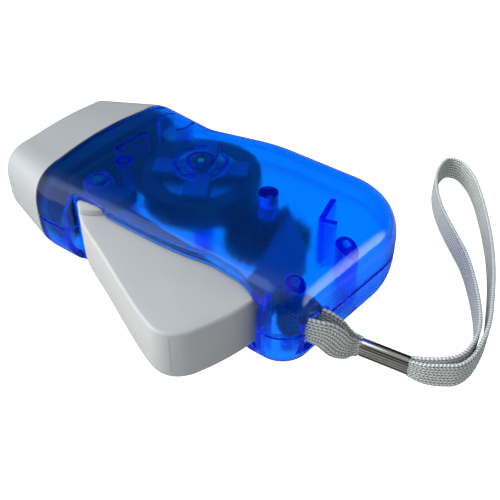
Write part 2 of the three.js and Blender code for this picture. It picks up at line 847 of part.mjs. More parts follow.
function bobbin() {
  const sides = [ring(rotor, bobbinRadius, sleeveHole, bobbinBase, bobbinBase + bobbinWall),
    ring(rotor, bobbinRadius, sleeveHole, bobbinTop - bobbinWall, bobbinTop)];
  return ring(rotor, bobbinCore, sleeveHole, bobbinBase, bobbinTop).add(sides[0]).add(sides[1]);
}

function coil() {
  return ring(rotor, bobbinRadius - partGap, bobbinCore + partGap,
    bobbinBase + bobbinWall + partGap, bobbinTop - bobbinWall - partGap);
}

function flywheelRing() {
  const bore = flywheelRadius - flywheelWall;
  const wall = ring(rotor, flywheelRadius, bore, flywheelBase, flywheelTop, wheelSteps);
  const flangeBase = flywheelTop - flywheelFlange;
  return wall.add(ring(rotor, flywheelRadius, flangeBore, flangeBase, flywheelTop, wheelSteps));
}

function ringMagnet() {
  const outer = flywheelRadius - flywheelWall - partGap;
  return ring(rotor, outer, outer - magnetWall, flywheelBase + partGap,
    flywheelTop - flywheelFlange - partGap, wheelSteps);
}

function rotorSpider() {
  let part = disc(rotor, spiderHubRadius, spiderBase, spiderTop);
  for (let k = 0; k < spiderArmCount; k += 1) {
    const tip = polar(rotor, spiderArmReach, spiderTurnAngle + k * 360 / spiderArmCount);
    part = part.add(wallBetween(rotor, tip, spiderArmWidth, spiderBase, spiderTop));
  }
  return part.subtract(disc(rotor, axleHole, 0, full, smallSteps));
}

function axleBush() {
  return ring(rotor, bushRadius, axleHole, bushBase, bushTop, roundSteps);
}

// Gears

const halfTooth = (Math.PI * gearModule - backlash) / 4;
const flankSlope = Math.tan(pressureAngle * degree);

// Half widths of a tooth in degrees, at its root and at its tip
function toothAngles(root, tip) {
  const pitch = Math.abs(root - tip) * dedendum / (addendum + dedendum);
  const middle = root + Math.sign(tip - root) * pitch;
  const base = Math.min(halfTooth + dedendum * flankSlope, halfTooth * rootSpread);
  return [base / middle / degree, (halfTooth - addendum * flankSlope) / tip / degree];
}

function gearOutline(place, teeth, phase) {
  const root = pitchOf(teeth) - dedendum;
  const tip = pitchOf(teeth) + addendum;
  const [rootHalf, tipHalf] = toothAngles(root, tip);
  const points = [];
  for (let i = 0; i < teeth; i += 1) {
    const middle = phase + i * 360 / teeth;
    points.push(polar(place, root, middle - rootHalf), polar(place, tip, middle - tipHalf),
      polar(place, tip, middle + tipHalf), polar(place, root, middle + rootHalf));
  }
  return points;
}

function gear(place, teeth, phase, low, high) {
  return prism(gearOutline(place, teeth, phase), low, high);
}

function drivePinion() {
  return gear(drive, drivePinionTeeth, driveAngle, drivePinionBase, drivePinionTop).subtract(
    disc(drive, axleHole, 0, full, smallSteps));
}

function ratchetGear() {
  const recess = [];
  for (let i = 0; i < ratchetTeeth; i += 1) {
    const start = i * 360 / ratchetTeeth;
    recess.push(polar(drive, ratchetRecessRadius - ratchetToothDepth, start),
      polar(drive, ratchetRecessRadius, start + ratchetRiseAngle));
  }
  return gear(drive, ratchetGearTeeth, bearing(drive, idler), ratchetGearBase, ratchetGearTop)
    .subtract(prism(recess, ratchetGearBase + webThickness, full))
    .subtract(disc(drive, axleHole, 0, full, smallSteps));
}

const armShares = [
  [0.55, -8], [0.72, 16], [0.9, 45], [1, 74], [0.87, 76], [0.78, 50], [0.62, 26], [0.5, 12],
];

function pawlPlate() {
  let part = disc(drive, pawlDiscRadius, pawlBase, ratchetGearTop);
  for (const turn of [0, 180]) {
    const arm = armShares.map(([share, angle]) => polar(drive, share * pawlTipRadius, turn + angle));
    part = part.add(prism(arm, pawlBase, ratchetGearTop));
  }
  return part.subtract(disc(drive, axleHole, 0, full, smallSteps));
}

function idlerGear() {
  const wheelTop = idlerWheelBase + idlerWheelFace;
  const toDrive = bearing(idler, drive) + 180 / idlerPinionTeeth;
  return gear(idler, idlerWheelTeeth, bearing(idler, rotor), idlerWheelBase, wheelTop)
    .add(gear(idler, idlerPinionTeeth, toDrive, wheelTop - partGap, ratchetGearTop))
    .subtract(disc(idler, axleHole, 0, full, smallSteps));
}

function rotorPinion() {
  const face = rotorPinionBase + rotorPinionFace;
  const toIdler = bearing(rotor, idler) + 180 / rotorPinionTeeth;
  return gear(rotor, rotorPinionTeeth, toIdler, rotorPinionBase, face)
    .add(disc(rotor, sleeveRadius, face - partGap, flywheelTop, smallSteps))
    .subtract(disc(rotor, axleHole, 0, full, smallSteps));
}

// Squeeze lever, built standing open

const leverShares = [
  [-0.051, 0.135], [-0.178, 0.17], [-0.409, 0.185], [-0.596, 0.2], [-0.774, 0.211], [-0.904, 0.207],
  [-0.978, 0.19],
];

function openPoint(reach, angle) {
  return polar(pivot, reach, angle - leverOpenAngle);
}

function leverFace() {
  return leverShares.map(([x, y]) => openPoint(Math.hypot(x, y) * leverReach, Math.atan2(y, x) / degree));
}

// Where the rounded tip of the lever runs into its outer arc
function tailAngle() {
  return bearing(pivot, leverFace().pop()) + leverTipRound / leverReach / degree;
}

function leverOutline() {
  const face = leverFace();
  const tip = face.pop();
  const before = face[face.length - 1];
  const run = Math.hypot(before[0] - tip[0], before[1] - tip[1]);
  const share = Math.min(1, leverTipRound / run);
  const start = [0, 1].map((k) => tip[k] + (before[k] - tip[k]) * share);
  const end = polar(pivot, leverReach, tailAngle());
  const bend = [];
  for (let i = 0; i < tipSteps; i += 1) {
    const t = i / tipSteps;
    bend.push([0, 1].map((k) => start[k] * (1 - t) ** 2 + 2 * tip[k] * t * (1 - t) + end[k] * t ** 2));
  }
  return dedupe([pivot, ...face, ...bend, ...arc(pivot, leverReach, tailAngle(), plateEdgeAngle)]);
}

function leverHollow() {
  const face = leverFace();
  const inner = leverReach - leverWall;
  const moved = inset([pivot, ...face, polar(pivot, leverReach, plateEdgeAngle)], leverWall).slice(1, -2);
  const from = bearing(pivot, face[face.length - 1]) + leverWall / leverReach / degree;
  return [pivot, ...moved, ...arc(pivot, inner, from, knuckleToAngle, arcSteps * 2)];
}

function toothedEdge() {
  const root = pitchOf(arcTeeth) + dedendum;
  const tip = pitchOf(arcTeeth) - addendum;
  const [rootHalf, tipHalf] = toothAngles(root, tip);
  const step = 360 / arcTeeth;
  const points = [];
  const last = Math.floor((stripInnerAngle - rootHalf - driveAngle) / step - 0.5);
  for (let k = last; driveAngle + (k + 0.5) * step > toothedFromAngle; k -= 1) {
    const middle = driveAngle + (k + 0.5) * step;
    points.push(polar(pivot, root, middle + rootHalf), polar(pivot, tip, middle + tipHalf),
      polar(pivot, tip, middle - tipHalf), polar(pivot, root, middle - rootHalf));
  }
  return points;
}

function toothedStrip() {
  const root = pitchOf(arcTeeth) + dedendum;
  const inWall = tailAngle() + stripRootAngle;
  return prism([
    ...arc(pivot, leverReach - partGap, inWall, stripOuterAngle, arcSteps * 2),
    polar(pivot, root, stripInnerAngle),
    ...toothedEdge(),
    ...arc(pivot, root, toothedFromAngle - toothedLeadAngle, inWall, arcSteps),
  ], stripBase, stripBase + stripHeight);
}

function squeezeLever() {
  const plateLow = leverBase + leverWall;
  const plateHigh = leverTop - leverWall;
  let lever = prism(leverOutline(), leverBase, leverTop);
  const knuckle = [pivot, leverFace()[0], ...arc(pivot, knuckleRadius, knuckleFromAngle, knuckleToAngle)];
  lever = lever.add(prism(knuckle, knuckleBase, knuckleTop));
  lever = lever.subtract(prism(leverHollow(), plateLow, plateHigh));
  lever = lever.subtract(disc(pivot, knuckleRadius - leverWall, plateLow, plateHigh));
  lever = lever.subtract(sector(pivot, knuckleRadius + leverWall, plateEdgeAngle - knuckleMouthAngle,
    knuckleToAngle + knuckleMouthAngle, plateLow, plateHigh));
  lever = lever.add(disc(pivot, hubRadius, knuckleBase, knuckleTop));
  lever = lever.add(disc(polar(pivot, springPegOffset, springPegAngle), springPegRadius,
    plateLow - partGap, plateHigh + partGap, smallSteps));
  lever = lever.add(toothedStrip());
  return lever.subtract(disc(pivot, pinHole, 0, full, smallSteps));
}

function returnSpring() {
  const start = springFootAngle + springRampAngle;
  const points = [
    [...polar(pivot, springRadius, springFootAngle), springFootBase],
    [...polar(pivot, springRadius, springFootAngle), springBase - 2 * springWire],
  ];
  const turns = (springEndAngle - start) / 360;
  const steps = Math.round(turns * smallSteps);
  for (let i = 0; i <= steps; i += 1) {
    const angle = start + (springEndAngle - start) * i / steps;
    points.push([...polar(pivot, springRadius, angle), springBase + springPitch * turns * i / steps]);
  }
  const end = polar(pivot, springRadius, springEndAngle);
  points.push([...polar(end, springLegLength, springEndAngle + 90), springBase + springPitch * turns]);
  return wireAlong(points, springWire / 2, springSides, steps + springEndSteps);
}

// Wrist strap: routes of the tape's middle line

const tieRoute = [
  [-57.25, 6.45, 4.25], [-56.2, 6.95, 4.35], [-55.4, 8.6, 5.1], [-54.3, 10.4, 6.85], [-53.6, 11.4, 8.7],
  [-53, 12.2, 10], [-52.1, 13.2, 11.4], [-50.6, 14.7, 12.6], [-48.6, 15.9, 13.2], [-46, 16.8, 13.5],
  [-43.1, 17.2, 13.6], [-40.5, 16.3, 13.7], [-39.4, 14.1, 13.7], [-40.2, 11.6, 13.7], [-42.5, 10.4, 13.6],
  [-45.2, 10.6, 13.5], [-47.8, 11, 13.1], [-49.8, 10.2, 11.9], [-51.1, 9.3, 10.3], [-51.9, 8.6, 8.7],
  [-52.8, 7.8, 6.85], [-54.1, 6.5, 5.1], [-55.9, 5.2, 4.35], [-57.05, 4.9, 4.25],
];
const ferruleFront = [-57.6, 5.6, 4.25];
const ferruleBack = [-69.1, 3.9, 4.25];
const loopRoute = [
  [-69.4, 4.6, 4.2], [-73, 3.8, 4.1], [-76.4, 1.8, 4], [-79.3, -0.6, 4], [-80.6, -4.2, 4],
  [-80.4, -10.9, 4], [-79, -17.8, 4], [-76.4, -25, 4], [-72.7, -34, 4], [-68.4, -42.9, 4],
  [-63.5, -51.5, 4], [-58.1, -59.9, 4], [-52.6, -67.7, 4], [-47.3, -73.5, 4], [-42.2, -76.6, 4],
  [-39.1, -75.5, 4], [-38.8, -70.8, 4], [-40.4, -65, 4], [-43.8, -58.6, 4], [-48.4, -52.5, 4],
  [-53, -47.6, 4], [-58, -42.8, 4], [-62.5, -38.4, 4], [-66.4, -33.7, 4], [-72.2, -25.4, 4],
  [-77, -16.8, 4], [-78.8, -10.4, 4], [-79, -4.8, 4], [-77.9, -1.7, 4], [-75.4, 0.7, 4],
  [-72.6, 2.2, 4.1], [-69.2, 3.1, 4.2],
];

// Flat tape on edge along a route, kept as upright as the route allows, its ends pinched to enter the ferrule
function tape(route, steps) {
  const curve = new THREE.CatmullRomCurve3(route.map((p) => new THREE.Vector3(...p)), false, 'centripetal');
  const half = tapeThickness / 2;
  const tall = tapeWidth / 2;
  const pinched = (ferruleWidth / 2 - ferruleEdge / 2) / tall;
  const length = curve.getLength();
  const section = [
    [half, -tall + tapeEdge], [half, tall - tapeEdge], [half - tapeEdge, tall], [-half + tapeEdge, tall],
    [-half, tall - tapeEdge], [-half, -tall + tapeEdge], [-half + tapeEdge, -tall], [half - tapeEdge, -tall],
  ];
  const positions = [];
  for (let i = 0; i <= steps; i += 1) {
    const place = curve.getPointAt(i / steps);
    const ahead = curve.getTangentAt(i / steps);
    const up = new THREE.Vector3(0, 0, 1).addScaledVector(ahead, -ahead.z).normalize();
    const side = new THREE.Vector3().crossVectors(ahead, up);
    const fromEnd = Math.min(i, steps - i) / steps * length;
    const opened = THREE.MathUtils.smoothstep(fromEnd, 0, pinchReach);
    const width = pinched + (1 - pinched) * opened;
    for (const [s, u] of section) {
      const point = place.clone().addScaledVector(side, s).addScaledVector(up, u * width);
      positions.push(point.x, point.y, point.z);
    }
  }
  const n = section.length;
  const index = [];
  for (let k = 0; k < steps; k += 1) {
    for (let i = 0; i < n; i += 1) {
      const j = (i + 1) % n;
      index.push(k * n + i, (k + 1) * n + j, k * n + j);
      index.push(k * n + i, (k + 1) * n + i, (k + 1) * n + j);
    }
  }
  for (let i = 1; i < n - 1; i += 1) {
    index.push(0, i, i + 1);
    index.push(steps * n, steps * n + i + 1, steps * n + i);
  }
  const geometry = new THREE.BufferGeometry();
  geometry.setAttribute('position', new THREE.Float32BufferAttribute(positions, 3));
  geometry.setIndex(index);
  return toSolid(geometry);
}

// The crimped metal sleeve: a bar with bevelled edges and lengthwise grooves on both wide faces
function ferrule() {
  const [fx, fy, fz] = ferruleFront;
  const [bx, by] = ferruleBack;
  const half = ferruleThickness / 2;
  const tall = ferruleWidth / 2;
  const side = [[half - ferruleEdge, -tall], [half, ferruleEdge - tall]];
  for (let i = 0; i < ferruleGrooveCount; i += 1) {
    const middle = (i - (ferruleGrooveCount - 1) / 2) * (ferruleWidth - 2 * ferruleEdge) / ferruleGrooveCount;
    side.push([half, middle - ferruleGroove], [half - ferruleGroove, middle], [half, middle + ferruleGroove]);
  }
  side.push([half, tall - ferruleEdge], [half - ferruleEdge, tall]);
  const section = [...side, ...side.map(([x, y]) => [-x, -y])];
  const shape = new THREE.Shape(section.map(([x, y]) => new THREE.Vector2(x, y)));
  const length = Math.hypot(bx - fx, by - fy);
  const geometry = new THREE.ExtrudeGeometry(shape, { depth: length, bevelEnabled: false });
  geometry.rotateX(Math.PI / 2);
  geometry.rotateZ(bearing([fx, fy], [bx, by]) * degree + Math.PI / 2);
  geometry.translate(fx, fy, fz);
  return toSolid(geometry);
}

// Finishes: colour, roughness, metalness
const finishes = {
  translucentBlue: ['#1d55c4', 0.25, 0],
  paleGrey: ['#b9bec4', 0.45, 0],
  clear: ['#dfe8ee', 0.08, 0],
  chromed: ['#c9ccd0', 0.18, 0.9],
  phenolic: ['#8a5a2c', 0.7, 0],
  ledClear: ['#e9eef2', 0.12, 0],
  blackPlastic: ['#17181c', 0.5, 0],
  whiteNylon: ['#d9dadc', 0.5, 0],
  steel: ['#9da1a6', 0.35, 0.9],
  zinc: ['#aab0b4', 0.4, 0.8],
  ferrite: ['#2a2b2e', 0.7, 0.1],
  copper: ['#a85a2e', 0.4, 0.6],
  capSleeve: ['#23345e', 0.5, 0],
  cellSteel: ['#c3c6c9', 0.3, 0.8],
  redWire: ['#a8282a', 0.5, 0],
  greyBraid: ['#8d9a94', 0.9, 0],
};

const pieces = [
  ['upper_shell', upperShell(), 'translucentBlue'],
  ['lower_shell', lowerShell(), 'translucentBlue'],
  ['nose_cap', noseCap(), 'paleGrey'],
  ['lens', lens(), 'clear'],
  ['reflector', reflector(), 'blackPlastic'],
  ['led_board', ledBoard(), 'phenolic'],
  ['rectifier', rectifier(), 'blackPlastic'],
  ['capacitor', capacitor(), 'capSleeve'],
  ['cell_stack', cellStack(), 'cellSteel'],
  ['bridge_plate', bridgePlate(), 'blackPlastic'],
  ['lower_yoke', yoke(lowerYokeBase, lowerYokeBase, bobbinTop - bobbinWall, 0), 'steel'],
  ['upper_yoke', yoke(upperYokeBase, bobbinBase + bobbinWall, upperYokeTop, 180 / clawCount), 'steel'],
  ['bobbin', bobbin(), 'whiteNylon'],
  ['coil', coil(), 'copper'],
  ['flywheel_ring', flywheelRing(), 'zinc'],
  ['ring_magnet', ringMagnet(), 'ferrite'],
  ['rotor_spider', rotorSpider(), 'whiteNylon'],
  ['rotor_pinion', rotorPinion(), 'whiteNylon'],
  ['idler_gear', idlerGear(), 'whiteNylon'],
  ['ratchet_gear', ratchetGear(), 'whiteNylon'],
  ['pawl_plate', pawlPlate(), 'whiteNylon'],
  ['drive_pinion', drivePinion(), 'whiteNylon'],
  ['squeeze_lever', squeezeLever(), 'paleGrey'],
  ['return_spring', returnSpring(), 'steel'],
  ['axle_bush', axleBush(), 'whiteNylon'],
  ['pivot_pin', disc(pivot, pinRadius, axleFoot, pinTop, smallSteps), 'steel'],
  ['drive_axle', disc(drive, axleRadius, axleFoot, driveAxleTop, smallSteps), 'steel'],
  ['idler_axle', disc(idler, axleRadius, axleFoot, bridgeTop, smallSteps), 'steel'],
  ['rotor_axle', disc(rotor, axleRadius, axleFoot, rotorAxleTop, smallSteps), 'steel'],
  ['strap_tie', tape(tieRoute, tieSteps), 'greyBraid'],
  ['strap_loop', tape(loopRoute, loopSteps), 'greyBraid'],
  ['ferrule', ferrule(), 'chromed'],
];
ledPlaces.forEach((side, i) => pieces.push([`led_${i + 1}`, led(side), 'ledClear']));
casePosts.forEach(([place], i) => pieces.push([
  `case_screw_${i + 1}`, screw(place, screwBottom, screwLength, true), 'steel']));
screwPosts.forEach((place, i) => pieces.push([
  `bridge_screw_${i + 1}`, screw(place, bridgeScrewTop, bridgeScrewLength, false), 'steel']));
leadRoutes.forEach((route, i) => pieces.push([
  `lead_${i + 1}`, wireAlong(route, wireRadius, leadSides, leadSteps), 'redWire']));

function toMesh(name, solid, finish) {
  const mesh = solid.getMesh();
  const geometry = new THREE.BufferGeometry();
  geometry.setAttribute('position', new THREE.BufferAttribute(new Float32Array(mesh.vertProperties), 3));
  geometry.setIndex(new THREE.BufferAttribute(new Uint32Array(mesh.triVerts), 1));
  const [color, roughness, metalness] = finishes[finish];
  const piece = new THREE.Mesh(geometry, new THREE.MeshStandardMaterial({
    color, roughness, metalness, flatShading: true }));
  piece.name = name;
  return piece;
}

const torch = new THREE.Group();
for (const [name, solid, finish] of pieces) {
  torch.add(toMesh(name, solid, finish));
}

export default torch;
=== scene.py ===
# Hand-press dynamo torch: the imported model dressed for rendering.
# Sizes are millimetres and angles are degrees, unless a note says otherwise.
import math

import bpy
from mathutils import Matrix, Vector


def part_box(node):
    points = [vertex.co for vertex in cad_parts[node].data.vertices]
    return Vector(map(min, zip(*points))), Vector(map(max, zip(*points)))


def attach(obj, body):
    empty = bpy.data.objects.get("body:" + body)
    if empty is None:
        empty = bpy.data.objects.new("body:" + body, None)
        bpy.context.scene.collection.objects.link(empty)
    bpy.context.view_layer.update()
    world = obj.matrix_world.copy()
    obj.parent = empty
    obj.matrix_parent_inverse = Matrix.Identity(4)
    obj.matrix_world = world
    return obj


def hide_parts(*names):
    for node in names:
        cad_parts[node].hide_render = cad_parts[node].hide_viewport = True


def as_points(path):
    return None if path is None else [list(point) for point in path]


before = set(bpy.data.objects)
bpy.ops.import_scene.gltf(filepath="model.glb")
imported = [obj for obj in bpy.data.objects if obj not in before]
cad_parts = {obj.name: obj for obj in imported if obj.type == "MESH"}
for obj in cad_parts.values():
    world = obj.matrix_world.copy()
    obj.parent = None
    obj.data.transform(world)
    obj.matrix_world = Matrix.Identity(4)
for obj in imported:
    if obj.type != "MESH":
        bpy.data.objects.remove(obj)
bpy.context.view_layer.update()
scene = bpy.context.scene
mm = 0.001
gap = 0.3  # clearance between neighbouring pieces
overrun = 4  # how far a cutting tool reaches past what it cuts
print("stage: packed model loaded")


def placed(name, data):
    piece = bpy.data.objects.new(name, data)
    scene.collection.objects.link(piece)
    return piece


# Camera, placed as the photograph was taken, with its lens in millimetres
viewpoint = {
    "azimuth": 217.6, "elevation": 40.6, "lens": 56.2, "target": (-20.6, 1.545, 12.75), "distance": 200.85,
    "clipMetres": (0.01, 10),
}


def placeCamera(sizes):
    around = math.radians(sizes["azimuth"])
    above = math.radians(sizes["elevation"])
    level = math.cos(above)
    back = Vector((math.sin(around) * level, -math.cos(around) * level, math.sin(above)))
    camera = placed("camera", bpy.data.cameras.new("camera"))
    camera.data.lens = sizes["lens"]
    camera.data.clip_start, camera.data.clip_end = sizes["clipMetres"]
    camera.location = (Vector(sizes["target"]) + back * sizes["distance"]) * mm
    camera.rotation_mode = "QUATERNION"
    camera.rotation_quaternion = (-back).to_track_quat("-Z", "Y")
    scene.camera = camera


placeCamera(viewpoint)
print("stage: camera placed")


# Material helpers
def newMaterial(name):
    material = bpy.data.materials.new(name)
    material.use_nodes = True
    nodes = material.node_tree.nodes
    return material, nodes, material.node_tree.links, nodes["Principled BSDF"]


def mathNode(nodes, links, operation, *values, kind="ShaderNodeMath"):
    node = nodes.new(kind)
    node.operation = operation
    for socket, value in zip(node.inputs, values):
        if isinstance(value, bpy.types.NodeSocket):
            links.new(value, socket)
        else:
            socket.default_value = value
    return node


def worked(nodes, links, operation, *values):
    return mathNode(nodes, links, operation, *values).outputs["Value"]


def noise(nodes, links, scale, detail, stretch=(1, 1, 1), **settings):
    place = nodes.new("ShaderNodeTexCoord")
    turn = nodes.new("ShaderNodeMapping")
    turn.inputs["Scale"].default_value = stretch
    pattern = nodes.new("ShaderNodeTexNoise")
    pattern.inputs["Scale"].default_value = scale
    pattern.inputs["Detail"].default_value = detail
    for key, value in settings.items():
        pattern.inputs[key].default_value = value
    links.new(place.outputs["Object"], turn.inputs["Vector"])
    links.new(turn.outputs["Vector"], pattern.inputs["Vector"])
    return pattern.outputs["Fac"]


def spread(nodes, links, source, low, high, fromLow=0.3, fromHigh=0.7):
    # Noise keeps mostly between the two from-values
    span = nodes.new("ShaderNodeMapRange")
    span.inputs["From Min"].default_value = fromLow
    span.inputs["From Max"].default_value = fromHigh
    span.inputs["To Min"].default_value = low
    span.inputs["To Max"].default_value = high
    links.new(source, span.inputs["Value"])
    return span.outputs["Result"]


def tinted(nodes, links, source, first, second):
    mix = nodes.new("ShaderNodeMix")
    mix.data_type = "RGBA"
    mix.inputs["A"].default_value = (*first, 1)
    mix.inputs["B"].default_value = (*second, 1)
    links.new(source, mix.inputs["Factor"])
    return mix.outputs["Result"]


def unevenRoughness(nodes, links, shader, source, roughness, shares):
    low, high = shares
    links.new(spread(nodes, links, source, roughness * low, roughness * high), shader.inputs["Roughness"])


def roundedBump(nodes, links, shader, height, strength, depth, radius=0):
    # A shallow relief on edges that the shader rounds off
    bump = nodes.new("ShaderNodeBump")
    bump.inputs["Strength"].default_value = strength
    bump.inputs["Distance"].default_value = depth * mm
    links.new(height, bump.inputs["Height"])
    if radius:
        edge = nodes.new("ShaderNodeBevel")
        edge.samples = 4
        edge.inputs["Radius"].default_value = radius * mm
        links.new(edge.outputs["Normal"], bump.inputs["Normal"])
    links.new(bump.outputs["Normal"], shader.inputs["Normal"])


def openToShadows(nodes, links, shader, tint=(1, 1, 1)):
    # Light reaches what lies inside through a tinted but unbent shadow
    clear = nodes.new("ShaderNodeBsdfTransparent")
    clear.inputs["Color"].default_value = (*tint, 1)
    path = nodes.new("ShaderNodeLightPath")
    pick = nodes.new("ShaderNodeMixShader")
    links.new(path.outputs["Is Shadow Ray"], pick.inputs[0])
    links.new(shader.outputs["BSDF"], pick.inputs[1])
    links.new(clear.outputs["BSDF"], pick.inputs[2])
    links.new(pick.outputs["Shader"], nodes["Material Output"].inputs["Surface"])


# Translucent blue shells: the innerFace attribute tells the smooth outer face from the frosted inner one
blueShell = {
    "tint": (0.0, 0.7, 1.0), "milk": 0.003, "ior": 1.49, "edge": 0.25,
    "veil": 0.05, "veilTint": (0.0, 0.05, 1.0),
    "absorb": (0.0, 0.75, 0.994), "density": 900, "shadowTint": (0.03, 0.6, 0.97),
    "outerRoughness": 0.08, "innerRoughness": 0.22, "ripple": 900, "rippleShares": (0.8, 1.2),
    "wave": 60, "waveStrength": 0.25, "waveDepth": 0.12,
}


def blueMaterial(sizes):
    material, nodes, links, shader = newMaterial("translucentBlue")
    shader.inputs["Base Color"].default_value = (*sizes["tint"], 1)
    shader.inputs["Transmission Weight"].default_value = 1 - sizes["milk"]
    shader.inputs["IOR"].default_value = sizes["ior"]
    shader.inputs["Sheen Weight"].default_value = sizes["veil"]
    shader.inputs["Sheen Roughness"].default_value = 1
    shader.inputs["Sheen Tint"].default_value = (*sizes["veilTint"], 1)
    side = nodes.new("ShaderNodeAttribute")
    side.attribute_name = "innerFace"
    face = spread(nodes, links, side.outputs["Fac"], sizes["outerRoughness"], sizes["innerRoughness"], 0, 1)
    ripple = spread(nodes, links, noise(nodes, links, sizes["ripple"], 3), *sizes["rippleShares"])
    links.new(worked(nodes, links, "MULTIPLY", face, ripple), shader.inputs["Roughness"])
    wave = noise(nodes, links, sizes["wave"], 1)
    roundedBump(nodes, links, shader, wave, sizes["waveStrength"], sizes["waveDepth"], sizes["edge"])
    openToShadows(nodes, links, shader, sizes["shadowTint"])
    depth = nodes.new("ShaderNodeVolumeAbsorption")
    depth.inputs["Color"].default_value = (*sizes["absorb"], 1)
    depth.inputs["Density"].default_value = sizes["density"]
    links.new(depth.outputs["Volume"], nodes["Material Output"].inputs["Volume"])
    return material


plasticLook = {
    "cloud": 55, "grain": 2600, "ior": 1.48, "roughShares": (0.85, 1.15), "bump": 0.16, "bumpDepth": 0.05,
    "scuff": 210, "scuffStretch": (1, 0.06, 1), "scuffBreaks": 0.7, "scuffBand": (0.485, 0.5),
}


def mouldedPlastic(name, colour, second, roughness, scratch=0.0, edge=0.35):
    look = plasticLook
    material, nodes, links, shader = newMaterial(name)
    cloud = noise(nodes, links, look["cloud"], 4)
    fade = spread(nodes, links, cloud, 0, 1)
    links.new(tinted(nodes, links, fade, colour, second), shader.inputs["Base Color"])
    unevenRoughness(nodes, links, shader, cloud, roughness, look["roughShares"])
    shader.inputs["IOR"].default_value = look["ior"]
    height = noise(nodes, links, look["grain"], 2)
    if scratch:
        scuff = noise(nodes, links, look["scuff"], 5, look["scuffStretch"], Roughness=look["scuffBreaks"])
        line = spread(nodes, links, scuff, 1, 0, *look["scuffBand"])
        height = worked(nodes, links, "MULTIPLY_ADD", line, -scratch, height)
    roundedBump(nodes, links, shader, height, look["bump"], look["bumpDepth"], edge)
    return material


metalLook = {"dark": 0.78, "roughShares": (0.8, 1.3), "bump": 0.12, "bumpDepth": 0.03}


def metal(name, colour, roughness, stretch=(1, 1, 12), scale=300, edge=0.12):
    look = metalLook
    material, nodes, links, shader = newMaterial(name)
    shader.inputs["Metallic"].default_value = 1
    brushed = noise(nodes, links, scale, 4, stretch=stretch)
    dark = tuple(value * look["dark"] for value in colour)
    fade = spread(nodes, links, brushed, 0, 1)
    links.new(tinted(nodes, links, fade, colour, dark), shader.inputs["Base Color"])
    unevenRoughness(nodes, links, shader, brushed, roughness, look["roughShares"])
    roundedBump(nodes, links, shader, brushed, look["bump"], look["bumpDepth"], edge)
    return material


clearLook = {"ior": 1.49, "haze": 400, "roughShares": (0.7, 1.4)}


def clearPlastic(name, colour, roughness, milk=0.0):
    look = clearLook
    material, nodes, links, shader = newMaterial(name)
    shader.inputs["Base Color"].default_value = (*colour, 1)
    shader.inputs["Transmission Weight"].default_value = 1 - milk
    shader.inputs["IOR"].default_value = look["ior"]
    haze = noise(nodes, links, look["haze"], 2)
    unevenRoughness(nodes, links, shader, haze, roughness, look["roughShares"])
    openToShadows(nodes, links, shader)
    return material


# Woven tape: columns of slanted strands that lean left and right in turn, on the tape's own attributes
# pale is the strands' own colour; deep is painted shade for the hollows between strands
braidLook = {
    "columns": 8, "pitch": 0.9, "lean": 0.9, "pale": (0.9, 0.93, 0.9), "deep": (0.09, 0.105, 0.1),
    "ropeRound": 0.45, "strandShare": 0.6, "fibre": 1900, "fibreShare": 0.2, "paintedShadeBand": (0.3, 1.0),
    "bump": 0.25, "bumpStrength": 0.9, "roughness": 0.85, "sheen": 0.25,
}


def braidMaterial(sizes, width):
    material, nodes, links, shader = newMaterial("wovenTape")

    def attribute(name):
        node = nodes.new("ShaderNodeAttribute")
        node.attribute_name = name
        return node.outputs["Fac"]

    def number(operation, *values):
        return worked(nodes, links, operation, *values)

    def arch(value):
        return number("SINE", number("MULTIPLY", number("FRACT", value), math.pi))

    column = number("MULTIPLY_ADD", attribute("tapeAcross"), sizes["columns"] / (width * mm), 0.5)
    along = number("MULTIPLY", attribute("tapeAlong"), 1 / (sizes["pitch"] * mm))
    slant = number("MULTIPLY_ADD", number("PINGPONG", column, 1), sizes["lean"], along)
    strand = number("MULTIPLY_ADD", arch(slant), sizes["strandShare"], 1 - sizes["strandShare"])
    weave = number("MULTIPLY", number("POWER", arch(column), sizes["ropeRound"]), strand)
    height = number("MULTIPLY_ADD", noise(nodes, links, sizes["fibre"], 5), sizes["fibreShare"], weave)
    # Painted shade: the colour follows the weave's height, from the pale strand tops to near black in the
    # hollows between them
    paintedWeaveShade = spread(nodes, links, height, 0, 1, *sizes["paintedShadeBand"])
    links.new(tinted(nodes, links, paintedWeaveShade, sizes["deep"], sizes["pale"]), shader.inputs["Base Color"])
    shader.inputs["Roughness"].default_value = sizes["roughness"]
    shader.inputs["Sheen Weight"].default_value = sizes["sheen"]
    roundedBump(nodes, links, shader, height, sizes["bumpStrength"], sizes["bump"])
    return material


# Finishes, each with its colours and then its roughness
translucentBlue = blueMaterial(blueShell)
paleGrey = mouldedPlastic("paleGreyPlastic", (0.62, 0.63, 0.64), (0.58, 0.585, 0.59), 0.42, scratch=0.7,
                          edge=0.5)
capGrey = mouldedPlastic("noseCapPlastic", (0.53, 0.545, 0.56), (0.5, 0.515, 0.53), 0.34, edge=0.8)
nylon = mouldedPlastic("nylonParts", (0.72, 0.72, 0.7), (0.66, 0.66, 0.64), 0.5, edge=0.15)
greyNylon = mouldedPlastic("greyNylonGears", (0.13, 0.135, 0.12), (0.1, 0.105, 0.095), 0.5, edge=0.15)
dullSteel = metal("dullSteel", (0.26, 0.27, 0.29), 0.45)
blackPlastic = mouldedPlastic("blackPlastic", (0.03, 0.03, 0.035), (0.02, 0.02, 0.024), 0.5, edge=0.15)
darkReflector = mouldedPlastic("darkReflector", (0.03, 0.035, 0.05), (0.02, 0.024, 0.035), 0.3, edge=0.2)
board = mouldedPlastic("phenolicBoard", (0.45, 0.23, 0.09), (0.36, 0.17, 0.06), 0.6, edge=0.1)
sleeve = mouldedPlastic("capacitorSleeve", (0.05, 0.08, 0.25), (0.04, 0.06, 0.2), 0.35, edge=0.2)
redLead = mouldedPlastic("redLead", (0.55, 0.04, 0.04), (0.48, 0.03, 0.03), 0.4, edge=0.1)
brightSteel = metal("brightSteel", (0.62, 0.63, 0.65), 0.28)
cellSteel = metal("platedCells", (0.64, 0.65, 0.67), 0.25, stretch=(1, 1, 0.2))
